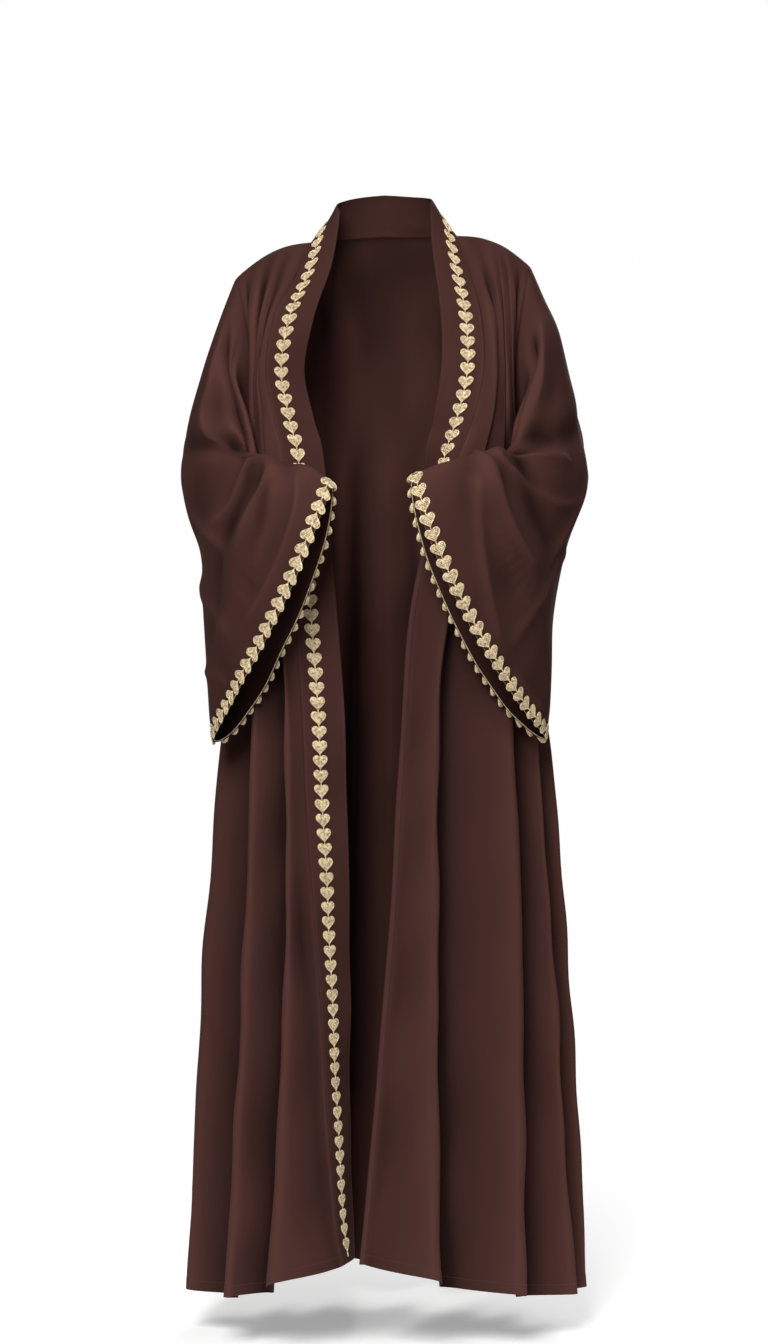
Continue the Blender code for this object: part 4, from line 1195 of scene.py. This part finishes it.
def stitch_shape():
    """One short stitch of thread, rounded down into the cloth at both ends."""
    vertices = [(place * STITCH_LENGTH, size * STITCH_RADIUS * np.cos(t),
                 (sink + size * np.sin(t)) * STITCH_RADIUS)
                for place, size, sink in STITCH_RINGS for t in ring_angles(STITCH_CORNERS)]
    n, last = STITCH_CORNERS, len(vertices) - STITCH_CORNERS
    faces = [(n * i + k, n * i + (k + 1) % n, n * (i + 1) + (k + 1) % n, n * (i + 1) + k)
             for i in range(len(STITCH_RINGS) - 1) for k in range(n)]
    return vertices, faces + [tuple(range(n)), tuple(range(last + n - 1, last - 1, -1))]


def inside(points, outline):
    """Which points lie inside a closed outline."""
    crossings = np.zeros(len(points), dtype=int)
    for a, b in zip(outline, np.roll(outline, -1, axis=0)):
        spans = (a[1] > points[:, 1]) != (b[1] > points[:, 1])
        rise = b[1] - a[1] if b[1] != a[1] else 1e-12
        crossings += spans & (points[:, 0] < a[0] + (b[0] - a[0]) * (points[:, 1] - a[1]) / rise)
    return crossings % 2 == 1


def sequin_places():
    """Places of the sequins of one heart on a close-packed pattern, raised to a dome."""
    across = np.array(SEQUIN_COLUMNS) * SEQUIN_SPACING
    along = np.array(SEQUIN_ROWS) * SEQUIN_SPACING * np.sqrt(3) / 2
    spots = np.array([(a, c + (i % 2) * SEQUIN_SPACING / 2) for i, a in enumerate(along) for c in across])
    spots = spots[inside(spots, heart_outline(CORD_RADIUS + SEQUIN_EDGE))]
    dome = 1 - np.hypot(*((spots - spots.mean(axis=0)) / (HEART_HEIGHT * DOME_REACH)).T) ** 2
    rise = np.clip(DOME_EDGE + (1 - DOME_EDGE) * dome, DOME_LOWEST, 1.0)
    return np.column_stack([spots, FILL_RISE * rise + SEQUIN_GAP])


class Tree:
    """Node tree built in words: nodes by type, settings first, then values or links of sockets."""

    def __init__(self, nodes, links):
        self.nodes, self.links = nodes, links

    def node(self, kind, settings=None, values=None):
        """New node; a value is a number, a colour, a Wire or an output socket."""
        node = self.nodes.new(kind)
        for key, value in (settings or {}).items():
            setattr(node, key, value)
        for key, value in (values or {}).items():
            self.feed(node.inputs[key], value)
        return node

    def feed(self, socket, value):
        """Set a socket or link it."""
        if isinstance(value, Wire):
            value = value.socket
        if isinstance(value, bpy.types.NodeSocket):
            self.links.new(value, socket)
        else:
            socket.default_value = value


class Wire:
    """Output of a node; arithmetic on it adds Math nodes."""

    def __init__(self, tree, socket):
        self.tree, self.socket = tree, socket

    def maths(self, operation, first, second):
        """One Math node."""
        node = self.tree.node("ShaderNodeMath", {"operation": operation}, {0: first, 1: second})
        return Wire(self.tree, node.outputs[0])

    def __add__(self, other):
        return self.maths("ADD", self, other)

    def __radd__(self, other):
        return self.maths("ADD", other, self)

    def __sub__(self, other):
        return self.maths("SUBTRACT", self, other)

    def __rsub__(self, other):
        return self.maths("SUBTRACT", other, self)

    def __mul__(self, other):
        return self.maths("MULTIPLY", self, other)

    def __rmul__(self, other):
        return self.maths("MULTIPLY", other, self)


class Finish(Tree):
    """Material of a Principled shader whose sockets are set by name."""

    def __init__(self, name, constants):
        self.material = bpy.data.materials.new(name)
        self.material.use_nodes = True
        tree = self.material.node_tree
        super().__init__(tree.nodes, tree.links)
        self.shader = tree.nodes["Principled BSDF"]
        for key, value in constants.items():
            self.shader.inputs[key].default_value = value
        self.places = self.node("ShaderNodeTexCoord")

    def noise(self, name):
        """One of the noises, over the piece's map or its own coordinates."""
        where, scale, detail, stretch = NOISES[name]
        mapping = self.node("ShaderNodeMapping", None,
                            {"Vector": self.places.outputs[where], "Scale": stretch})
        values = {"Vector": mapping.outputs[0], "Scale": scale, "Detail": detail}
        return Wire(self, self.node("ShaderNodeTexNoise", None, values).outputs["Fac"])

    def blend(self, factor, first, second):
        """Mixed colour."""
        values = {0: factor, 6: first, 7: second}
        return self.node("ShaderNodeMix", {"data_type": "RGBA"}, values).outputs[2]

    def shades(self, factor, colour, ends):
        """Colour that goes from its first shade to its last."""
        return self.blend(factor, *(shade(colour, end) for end in ends))

    def ramp(self, value, first, last, ends=(0.0, 1.0), kind="LINEAR"):
        """Value taken from one end to the other as it goes from first to last."""
        values = {"Value": value, 1: first, 2: last, 3: ends[0], 4: ends[1]}
        return self.node("ShaderNodeMapRange", {"interpolation_type": kind}, values).outputs[0]

    def bump(self, height, strength, distance, under=None):
        """Relief from a height."""
        values = {"Height": height, "Strength": strength, "Distance": distance}
        if under:
            values["Normal"] = under
        return self.node("ShaderNodeBump", None, values).outputs[0]

    def wear(self, **links):
        """Link values to the shader's sockets, underscores standing for spaces."""
        for key, value in links.items():
            self.feed(self.shader.inputs[key.replace("_", " ")], value)
        return self.material


def shade(colour, factor):
    """Colour made darker or lighter, with full alpha."""
    return tuple(min(1.0, channel * factor) for channel in colour[:3]) + (1.0,)


def crepe_finish(cloth):
    """Dark brown crepe: pebbled grain, faint slubs, painted shade in hollows, painted highlight on ridges."""
    if "dark_brown_crepe" in bpy.data.materials:
        return bpy.data.materials["dark_brown_crepe"]
    finish = Finish("dark_brown_crepe", {"Sheen Weight": cloth.sheen, "Sheen Roughness": SHEEN_ROUGHNESS,
                                         "Sheen Tint": SHEEN_TINT, "Specular IOR Level": 0.08})
    clouds, slubs, grain, weft = (finish.noise(name) for name in ("clouds", "slubs", "grain", "weft"))
    depth = clouds * DEPTH_SHARES[0] + slubs * DEPTH_SHARES[1] + grain * DEPTH_SHARES[2]
    plain = finish.shades(depth, cloth.colour, PLAIN_SHADES)
    # Painted shade: the crepe is darkened towards hollows and given a painted highlight on ridges, by lift
    deep = finish.shades(depth, cloth.colour, PAINTED_HOLLOW_SHADES)
    lift = finish.node("ShaderNodeAttribute", {"attribute_name": "lift"}).outputs["Fac"]
    colour = finish.blend(finish.ramp(lift, LIFT_DARK, LIFT_LIGHT), deep, plain)
    colour = finish.blend(finish.ramp(lift, LIFT_LIGHT, LIFT_RIDGE), colour, shade(cloth.colour, PAINTED_RIDGE_HIGHLIGHT))
    fine = finish.bump(grain * RELIEF_SHARES[0] + weft * RELIEF_SHARES[1], GRAIN_STRENGTH, cloth.grain)
    return finish.wear(Base_Color=colour,
                       Roughness=cloth.roughness - CREPE_VARIES / 2 + CREPE_VARIES * slubs,
                       Normal=finish.bump(finish.noise("dents"), *DENT_RELIEF, fine))


def thread_finish(cloth):
    """Matt brown sewing thread, twisted."""
    if "brown_thread" in bpy.data.materials:
        return bpy.data.materials["brown_thread"]
    finish = Finish("brown_thread", {"Sheen Weight": 0.2, "Specular IOR Level": 0.3})
    twist = finish.noise("twist")
    return finish.wear(Base_Color=finish.shades(twist, cloth.colour, THREAD_SHADES),
                       Roughness=THREAD_ROUGHNESS + THREAD_VARIES * twist,
                       Normal=finish.bump(twist, *THREAD_RELIEF))


def gold_finish(name, colour):
    """Champagne gold of cord, ground or sequins, glossy with painted glints here and dull there."""
    if name in bpy.data.materials:
        return bpy.data.materials[name]
    roughness, metallic, relief = GOLD[name]
    finish = Finish(name, {"Specular IOR Level": 0.5, "Coat Weight": 0.30, "Coat Roughness": 0.22})
    fleck, glint = finish.noise(name), finish.noise("glint")
    # Colour runs from the dull tint to painted glints over the flecks and the glint noise
    tints = [shade([channel * part for channel, part in zip(colour, tint)], 1.0)
             for tint in (GOLD_DULL, GOLD_PAINTED_GLINT)]
    mixed = fleck * FLECK_SHARE + glint * GLINT_SHARE - GLINT_FROM
    return finish.wear(Base_Color=finish.blend(mixed, *tints),
                       Metallic=metallic - METAL_VARIES / 2 + METAL_VARIES * glint,
                       Roughness=roughness + GOLD_VARIES / 2 - GOLD_VARIES * glint,
                       Normal=finish.bump(fleck, relief, GOLD_DEPTH))


def pale_finish():
    """Matt pale paper of the floor, fading out towards its rim."""
    finish = Finish("pale_floor", {"Specular IOR Level": 0.1, "Emission Color": WHITE,
                                   "Emission Strength": FLOOR_GLOW})
    paper = finish.noise("paper")
    flat = finish.node("ShaderNodeVectorMath", {"operation": "MULTIPLY"},
                       {0: finish.places.outputs["Object"], 1: (1.0, 1.0, 0.0)}).outputs[0]
    away = finish.node("ShaderNodeVectorMath", {"operation": "LENGTH"}, {0: flat}).outputs[1]
    return finish.wear(Base_Color=finish.shades(paper, WHITE, PAPER_SHADES),
                       Roughness=PAPER_ROUGHNESS + PAPER_VARIES * paper,
                       Alpha=finish.ramp(away, FADE_FROM, FADE_TO, (1.0, 0.0), "SMOOTHSTEP"))


def surround_finish():
    """Even white light of the studio walls."""
    finish = Finish("white_surround", {"Specular IOR Level": 0.0, "Base Color": BLACK,
                                       "Emission Strength": 1.0})
    return finish.wear(Emission_Color=finish.shades(finish.noise("walls"), WHITE, WALL_SHADES))


def laid_copies_tree():
    """Node tree that puts a shape on every point, with a little tilt and spread of size."""
    name = "laid copies"
    if name in bpy.data.node_groups:
        return bpy.data.node_groups[name]
    group = bpy.data.node_groups.new(name, "GeometryNodeTree")
    tree = Tree(group.nodes, group.links)
    for label, kind in (("Points", "Geometry"), ("Shape", "Object"), ("Tilt", "Float"), ("Spin", "Float"),
                        ("Size spread", "Float"), ("Seed", "Int"), ("Material", "Material")):
        group.interface.new_socket(label, in_out="INPUT", socket_type="NodeSocket" + kind)
    group.interface.new_socket("Copies", in_out="OUTPUT", socket_type="NodeSocketGeometry")
    given = tree.node("NodeGroupInput").outputs
    most = tree.node("ShaderNodeCombineXYZ", None, {0: given["Tilt"], 1: given["Tilt"], 2: given["Spin"]})
    least = tree.node("ShaderNodeVectorMath", {"operation": "SCALE"}, {0: most.outputs[0], "Scale": -1.0})
    turn = tree.node("FunctionNodeRandomValue", {"data_type": "FLOAT_VECTOR"},
                     {0: least.outputs[0], 1: most.outputs[0], "Seed": given["Seed"]})
    spread = Wire(tree, given["Size spread"])
    size = tree.node("FunctionNodeRandomValue", {"data_type": "FLOAT"},
                     {2: 1.0 - spread, 3: 1.0 + spread, "Seed": given["Seed"]})
    shape = tree.node("GeometryNodeObjectInfo", None, {"Object": given["Shape"]})
    copies = tree.node("GeometryNodeInstanceOnPoints", None,
                       {"Points": given["Points"], "Instance": shape.outputs["Geometry"],
                        "Rotation": turn.outputs[0], "Scale": size.outputs[1]})
    real = tree.node("GeometryNodeRealizeInstances", None, {"Geometry": copies.outputs[0]})
    dressed = tree.node("GeometryNodeSetMaterial", None,
                        {"Geometry": real.outputs[0], "Material": given["Material"]})
    tree.node("NodeGroupOutput", None, {"Copies": dressed.outputs[0]})
    return group


def laid_copies(places, shape, material, tilt, spin, spread, seed):
    """Vertices and faces of a shape repeated flat at the given places."""
    shape = shape_object("shape", *shape)
    points = bpy.data.meshes.new("places")
    points.from_pydata(places.tolist(), [], [])
    holder = bpy.data.objects.new("places", points)
    bpy.context.scene.collection.objects.link(holder)
    bpy.context.scene.collection.objects.link(shape)
    group = laid_copies_tree()
    modifier = holder.modifiers.new("laid copies", "NODES")
    modifier.node_group = group
    wanted = {"Shape": shape, "Tilt": tilt, "Spin": spin, "Size spread": spread, "Seed": seed,
              "Material": material}
    for item in group.interface.items_tree:
        if item.in_out == "INPUT" and item.name in wanted:
            modifier[item.identifier] = wanted[item.name]
    bpy.context.view_layer.update()
    graph = bpy.context.evaluated_depsgraph_get()
    mesh = bpy.data.meshes.new_from_object(holder.evaluated_get(graph))
    holder.modifiers.remove(modifier)
    flat = np.empty(3 * len(mesh.vertices))
    mesh.vertices.foreach_get("co", flat)
    faces = [tuple(face.vertices) for face in mesh.polygons]
    for thing in (holder, shape):
        bpy.data.objects.remove(thing)
    bpy.data.meshes.remove(mesh)
    if not faces:
        raise RuntimeError("the laid copies came out empty")
    return flat.reshape(-1, 3), faces


def joined(name, layers):
    """One piece from laid layers, each its vertices, faces and material."""
    vertices, faces = merged([layer[:2] for layer in layers])
    materials = list(dict.fromkeys(material for _, _, material in layers))
    slots = []
    for _, rows, material in layers:
        slots += [materials.index(material)] * len(rows)
    mesh = bpy.data.meshes.new(name)
    mesh.from_pydata(vertices.tolist(), [], faces)
    mesh.polygons.foreach_set("material_index", slots)
    return finished(name, mesh, materials)


def in_line(along):
    """Flat places at the given lengths on the middle line of a ribbon."""
    return np.stack([along, 0 * along, 0 * along], axis=1)


def edge_cord(ribbon, depth, trim):
    """Fine cord all round a closed ribbon, on the inner face of the cloth."""
    line = in_line(np.arange(EDGE_CORD_STEPS) * ribbon.total / EDGE_CORD_STEPS)[:, :2]
    sideways = np.tile([0.0, -1.0], (EDGE_CORD_STEPS, 1))
    flat, faces = tube(line, sideways, True, EDGE_CORD_RADIUS)
    lift = -depth - EDGE_CORD_GAP - 2 * EDGE_CORD_RADIUS
    return ribbon.laid(flat, lift), faces, gold_finish("gold_cord", trim.cord_colour)


def heart_chain(ribbon, count, trim, stretch):
    """Layers of a chain of corded hearts filled with sequins, sewn along a ribbon of cloth."""
    pitch = ribbon.total / count if ribbon.closed else HEART_PITCH
    start = 0.0 if ribbon.closed else CHAIN_START
    begin = in_line(start + pitch * np.arange(count))
    sequins = (begin[:, None] + sequin_places()[None]).reshape(-1, 3)
    sequin = sequin_shape(trim.sequin_size / 2)
    layers = []
    for shape, places, name, colour, tilt, spin, spread in (
            (heart_cord_shape(), begin, "gold_cord", trim.cord_colour, 0.0, 0.0, CORD_SPREAD),
            (heart_fill_shape(), begin, "gold_ground", trim.ground_colour, 0.0, 0.0, 0.0),
            (sequin, sequins, "gold_sequins", trim.sequin_colour, SEQUIN_TILT, SEQUIN_SPIN, SEQUIN_SPREAD)):
        finish = gold_finish(name, colour)
        flat, faces = laid_copies(places, shape, finish, tilt, spin, spread, trim.seed)
        layers.append((ribbon.laid(flat * np.array([1.0, stretch, 1.0]), CHAIN_LIFT), faces, finish))
    return layers


def stitch_rows(name, rows, cloth):
    """Rows of short stitches on ribbons of cloth."""
    thread = thread_finish(cloth)
    layers = []
    for ribbon in rows:
        count = int(ribbon.total / STITCH_PITCH)
        places = in_line((np.arange(count) + 0.5) * ribbon.total / count)
        flat, faces = laid_copies(places, stitch_shape(), thread, 0.0, STITCH_SPIN, STITCH_SPREAD,
                                  STITCH_SEED)
        layers.append((ribbon.laid(flat, 0.0), faces, thread))
    return joined(name, layers)


def settled(piece, nodes=()):
    """Tie a piece to its body in the frame, and hide the solids it stands for."""
    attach(piece, BODY)
    if nodes:
        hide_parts(*nodes)


def front_surface(side):
    """Outer face and normals of a front panel."""
    over = fine_lines(FRONT_FOLDS * STEPS_PER_FOLD, FRONT_COLUMNS, True, True)
    down = body_levels()
    grid = front_grid(side, down, over)
    clear = clear_of_sides(grid, CALM_CLEAR)
    grid = softened(grid, 0 * clear, clear * span(down, *FRONT_CALM)[:, None])
    grid = hung(grid, down, STEPS_PER_FOLD * FRONT_COLUMNS)
    return body_cloth(grid, -side, FRONT_DRAPES[side], FRONT_HOLLOWS[side], over, down)


def back_surface():
    """Outer face and normals of the back."""
    half = fine_lines(BACK_FOLDS * STEPS_PER_FOLD, BACK_COLUMNS, False, True)
    down = body_levels()
    grid = back_grid(down, half)
    clear = clear_of_sides(grid, CALM_CLEAR)
    grid = softened(grid, clear * span(down, *YOKE_CALM)[:, None], clear * span(down, *BACK_CALM)[:, None])
    grid = hung(grid, down, STEPS_PER_FOLD * BACK_COLUMNS)
    over = np.concatenate([-half[:0:-1], half])
    turned = [Drape(d.width, d.height, tuple((-a, b) for a, b in d.line)) for d in BACK_DRAPES[RIGHT]]
    return body_cloth(grid, 1, BACK_DRAPES[LEFT] + turned, BACK_HOLLOWS, over, down)


def sleeve_surface(side):
    """Outer face and normals of a sleeve, its underarm seam at three quarters of a turn."""
    loops = np.unique(np.concatenate([np.linspace(0, CUFF, CUFF * SLEEVE_ROWS + 1), EDGE_STEPS, CUFF_ROWS]))
    beside = np.array(UNDERARM_STEPS)
    turns = np.unique(np.concatenate([np.arange(SLEEVE_TURNS) / SLEEVE_TURNS, UNDERARM_TURN - beside,
                                      UNDERARM_TURN + beside]).round(6))
    grid = sleeve_grid(side, loops, turns)
    grid[0] += unit(grid[0] - grid[1]) * ARMHOLE_LAP
    girth = run_lengths(np.concatenate([grid, grid[:, :1]], axis=1), 1)[:, -1:]
    turn_grid, loop_grid = np.meshgrid(turns, loops)
    heights = drape_heights(SLEEVE_DRAPES[side], turn_grid, loop_grid, girth, LOOP_REACH, True)
    heights = (heights + ripple_heights(grid)) * ease(loop_grid / SLEEVE_SEAM_CLEAR)
    top = seam_dip(run_lengths(grid, 0))
    under = UNDERARM_DIP * np.exp(-((turn_grid - UNDERARM_TURN) * girth / UNDERARM_SOFT) ** 2)
    return shaped(grid, side, True, heights + top + under)


def band_surface(side):
    """Outer face and normals of a front band."""
    down = np.linspace(-NECK_STEPS, HEM, (HEM + NECK_STEPS) * BAND_ROWS + 1)
    stations = np.unique(np.concatenate([np.linspace(0, BAND_WIDTH, BAND_STATIONS + 1), BAND_SEAM_STATIONS]))
    grid = band_grid(side, down, stations)
    grid[0, :, 0] -= side * CENTRE_LAP
    heights = seam_dip(stations)[None, :] + ripple_heights(grid) * ease(stations / CREASE_CLEAR)[None, :]
    free_edge = FREE_EDGE_DIP * np.exp(-((BAND_WIDTH - stations) / FREE_EDGE_SOFT) ** 2)
    return shaped(grid, side, False, heights + free_edge[None, :])


def band_ribbon(side, middle):
    """Front band as a ribbon, across being from the seam to the free edge."""
    return Ribbon(*band_surface(side), middle, False)


def cuff_ribbon(side, middle):
    """Cuff as a closed ribbon, across being from the edge inwards; it runs down the front at left."""
    strips = [part[list(CUFF_STRIP)].transpose(1, 0, 2) for part in sleeve_surface(side)]
    if side == LEFT:
        strips = [np.roll(strip[::-1], 1, axis=0) for strip in strips]
    return Ribbon(*strips, middle, True)


def hem_ribbon(surface, middle):
    """Hem of a panel as a ribbon, across being from the edge upwards."""
    return Ribbon(*(part[:-HEM_ROWS:-1].transpose(1, 0, 2) for part in surface), middle, False)


def colour_setting(name, description, default):
    """Setting for a colour."""
    return bpy.props.FloatVectorProperty(name=name, description=description, subtype="COLOR", size=3,
                                         min=0.0, max=1.0, default=default)


def share_setting(name, description, default, lowest=0.0, highest=1.0):
    """Setting for a share."""
    return bpy.props.FloatProperty(name=name, description=description, subtype="FACTOR",
                                   min=lowest, max=highest, default=default)


def length_setting(name, description, default, lowest=-10.0, highest=20.0):
    """Setting for a length in metres."""
    return bpy.props.FloatProperty(name=name, description=description, unit="LENGTH",
                                   min=lowest, max=highest, default=default)


def power_setting(name, description, default):
    """Setting for the power of a light in watts."""
    return bpy.props.FloatProperty(name=name, description=description, unit="POWER", min=0.0, default=default)


class ClothSettings(bpy.types.PropertyGroup):
    """Sizes and colour of the crepe."""

    colour: colour_setting("Colour", "Colour of the crepe", (0.0528, 0.0208, 0.0170))
    roughness: share_setting("Roughness", "How matt the crepe is", 0.88, 0.1, 0.94)
    sheen: share_setting("Sheen", "Soft shine of the crepe's fibres", 0.05)
    grain: length_setting("Grain", "Depth of the crepe's pebbled grain", 0.00012, 0.0, 0.001)
    thickness: length_setting("Thickness", "Thickness of the cloth", 0.0010, 0.0003, 0.0018)


class TrimSettings(bpy.types.PropertyGroup):
    """Sizes and colours of the heart trim."""

    cord_colour: colour_setting("Cord", "Colour of the outline cord", (0.95, 0.690, 0.415))
    ground_colour: colour_setting("Ground", "Colour under the sequins", (0.80, 0.576, 0.340))
    sequin_colour: colour_setting("Sequins", "Colour of the sequins", (0.86, 0.686, 0.470))
    sequin_size: length_setting("Sequin size", "Width of one sequin", 0.0027, 0.001, 0.005)
    seed: bpy.props.IntProperty(
        name="Seed", description="Start of the sequins' random tilt", min=0, default=11)


class StageSettings(bpy.types.PropertyGroup):
    """Camera, light and floor."""

    lens: bpy.props.FloatProperty(
        name="Lens", description="Focal length in millimetres for 36 mm on the long side", min=20.0,
        default=89.26)
    distance: length_setting("Distance", "From the camera to the middle of the neck", 4.6, 1.0)
    floor: length_setting("Floor", "Height of the floor under the neck", -1.512)
    surround: bpy.props.FloatProperty(
        name="Surround", description="Strength of the even light all round", min=0.0, default=0.08)
    key: power_setting("Key", "Power of the main soft light", 172.0)
    fill: power_setting("Fill", "Power of the soft light opposite and of the rim", 19.0)
    back: power_setting("Back", "Power of the soft light behind", 110.0)


class ABAYA_OT_back(bpy.types.Operator):
    """Build the back."""

    bl_idname = "abaya.back"
    bl_label = "Back"

    def execute(self, context):
        back = cloth_object("back", back_surface(), 1, False, BODY_REACH, context.scene.abaya_cloth)
        settled(back, ["back_panel"])
        return {"FINISHED"}


class ABAYA_OT_fronts(bpy.types.Operator):
    """Build both front panels."""

    bl_idname = "abaya.fronts"
    bl_label = "Front panels"

    def execute(self, context):
        for side, word in SIDES:
            front = cloth_object(word + "_front", front_surface(side), -side, False, BODY_REACH,
                                 context.scene.abaya_cloth)
            settled(front, [word + "_front_panel"])
        return {"FINISHED"}


class ABAYA_OT_sleeves(bpy.types.Operator):
    """Build both bell sleeves."""

    bl_idname = "abaya.sleeves"
    bl_label = "Sleeves"

    def execute(self, context):
        for side, word in SIDES:
            sleeve = cloth_object(word + "_bell_sleeve", sleeve_surface(side), side, True, SLEEVE_REACH,
                                  context.scene.abaya_cloth)
            settled(sleeve, [word + "_sleeve"])
        return {"FINISHED"}


class ABAYA_OT_bands(bpy.types.Operator):
    """Build both halves of the front band."""

    bl_idname = "abaya.bands"
    bl_label = "Front bands"

    def execute(self, context):
        for side, word in SIDES:
            band = cloth_object(word + "_front_band", band_surface(side), side, False, BAND_REACH,
                                context.scene.abaya_cloth)
            settled(band, [word + "_band"])
        return {"FINISHED"}


class ABAYA_OT_band_hearts(bpy.types.Operator):
    """Sew the heart chains on the front bands."""

    bl_idname = "abaya.band_hearts"
    bl_label = "Band hearts"

    def execute(self, context):
        trim = context.scene.abaya_trim
        for side, word in SIDES:
            layers = heart_chain(band_ribbon(side, TRIM_LINE), BAND_HEARTS[side], trim, 1.0)
            settled(joined(word + "_band_hearts", layers), [word + "_band_trim"])
        return {"FINISHED"}


class ABAYA_OT_cuff_hearts(bpy.types.Operator):
    """Sew the heart chains and the fine edge cords round the cuffs."""

    bl_idname = "abaya.cuff_hearts"
    bl_label = "Cuff hearts"

    def execute(self, context):
        trim, thickness = context.scene.abaya_trim, context.scene.abaya_cloth.thickness
        for side, word in SIDES:
            layers = heart_chain(cuff_ribbon(side, CUFF_TRIM_LINE), CUFF_HEARTS[side], trim,
                                 CUFF_HEART_STRETCH)
            layers.append(edge_cord(cuff_ribbon(side, EDGE_CORD_RADIUS), thickness, trim))
            settled(joined(word + "_cuff_hearts", layers), [word + "_cuff_trim"])
        return {"FINISHED"}


class ABAYA_OT_stitching(bpy.types.Operator):
    """Stitch the bands and the hems."""

    bl_idname = "abaya.stitching"
    bl_label = "Stitching"

    def execute(self, context):
        cloth = context.scene.abaya_cloth
        for side, word in SIDES:
            bands = [band_ribbon(side, middle) for middle in BAND_STITCH_LINES]
            settled(stitch_rows(word + "_band_stitches", bands, cloth))
            hem = [hem_ribbon(front_surface(side), HEM_STITCH_LINE)]
            settled(stitch_rows(word + "_hem_stitches", hem, cloth))
        hem = [hem_ribbon(back_surface(), HEM_STITCH_LINE)]
        settled(stitch_rows("back_hem_stitches", hem, cloth))
        return {"FINISHED"}


class ABAYA_OT_stage(bpy.types.Operator):
    """Set the pale floor, the soft lights and the camera."""

    bl_idname = "abaya.stage"
    bl_label = "Stage"

    def execute(self, context):
        stage = context.scene.abaya_stage
        pale_floor(stage.floor)
        white_surround()
        world = bpy.data.worlds.new("soft surround")
        context.scene.world = world
        world.use_nodes = True
        sky = world.node_tree.nodes["Background"]
        sky.inputs["Color"].default_value = SKY_COLOUR
        sky.inputs["Strength"].default_value = stage.surround
        for name, place, size, power in LAMPS:
            soft_light(name, place, size, getattr(stage, power))
        lens = bpy.data.cameras.new("camera")
        lens.sensor_fit = "AUTO"
        lens.sensor_width = SENSOR_WIDTH
        lens.lens = stage.lens
        lens.clip_start, lens.clip_end = CLIP
        camera = bpy.data.objects.new("camera", lens)
        context.scene.collection.objects.link(camera)
        camera.location = (0.0, -stage.distance, EYE_HEIGHT)
        camera.rotation_euler = (np.pi / 2 - CAMERA_PITCH, 0.0, 0.0)
        context.scene.camera = camera
        context.scene.view_settings.view_transform = "Standard"
        return {"FINISHED"}


def soft_light(name, place, size, power):
    """Square soft light aimed at the middle of the garment."""
    lamp = bpy.data.lights.new(name, "AREA")
    lamp.size, lamp.energy = size, power
    light = bpy.data.objects.new(name, lamp)
    bpy.context.scene.collection.objects.link(light)
    light.location = place
    aim = Vector(AIM_PLACE) - Vector(place)
    light.rotation_euler = aim.to_track_quat("-Z", "Y").to_euler()


def pale_floor(floor):
    """Round pale floor under the garment."""
    mesh = bpy.data.meshes.new("floor")
    disc = bmesh.new()
    bmesh.ops.create_circle(disc, cap_ends=True, segments=FLOOR_SIDES, radius=FLOOR_REACH,
                            matrix=Matrix.Translation((0.0, 0.0, floor)))
    disc.to_mesh(mesh)
    disc.free()
    return finished("floor", mesh, [pale_finish()])


def white_surround():
    """White walls all round the studio, there for the camera alone."""
    mesh = bpy.data.meshes.new("surround")
    ball = bmesh.new()
    bmesh.ops.create_icosphere(ball, subdivisions=4, radius=SURROUND_REACH)
    bmesh.ops.reverse_faces(ball, faces=ball.faces)
    ball.to_mesh(mesh)
    ball.free()
    walls = finished("surround", mesh, [surround_finish()])
    walls.visible_diffuse = walls.visible_glossy = walls.visible_transmission = False
    walls.visible_shadow = False
    return walls


class ABAYA_PT_panel(bpy.types.Panel):
    """Settings and pieces of the abaya."""

    bl_idname = "ABAYA_PT_panel"
    bl_label = "Abaya"
    bl_space_type = "VIEW_3D"
    bl_region_type = "UI"
    bl_category = "Abaya"

    def draw(self, context):
        layout = self.layout
        for group in (context.scene.abaya_cloth, context.scene.abaya_trim, context.scene.abaya_stage):
            box = layout.box()
            for name in group.__annotations__:
                box.prop(group, name)
        for operator in OPERATORS:
            layout.operator(operator.bl_idname)


OPERATORS = (ABAYA_OT_back, ABAYA_OT_fronts, ABAYA_OT_sleeves, ABAYA_OT_bands, ABAYA_OT_band_hearts,
             ABAYA_OT_cuff_hearts, ABAYA_OT_stitching, ABAYA_OT_stage)
GROUPS = (("abaya_cloth", ClothSettings), ("abaya_trim", TrimSettings), ("abaya_stage", StageSettings))


def register():
    """Register the settings, the operators and the panel."""
    for name, group in GROUPS:
        bpy.utils.register_class(group)
        setattr(bpy.types.Scene, name, bpy.props.PointerProperty(type=group))
    for thing in (*OPERATORS, ABAYA_PT_panel):
        bpy.utils.register_class(thing)


def unregister():
    """Remove the panel, the operators and the settings."""
    for thing in reversed((*OPERATORS, ABAYA_PT_panel)):
        bpy.utils.unregister_class(thing)
    for name, group in reversed(GROUPS):
        delattr(bpy.types.Scene, name)
        bpy.utils.unregister_class(group)


def main():
    """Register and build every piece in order."""
    register()
    bpy.ops.abaya.back()
    bpy.ops.abaya.fronts()
    bpy.ops.abaya.sleeves()
    bpy.ops.abaya.bands()
    bpy.ops.abaya.band_hearts()
    bpy.ops.abaya.cuff_hearts()
    bpy.ops.abaya.stitching()
    bpy.ops.abaya.stage()


if __name__ == "__main__":
    main()
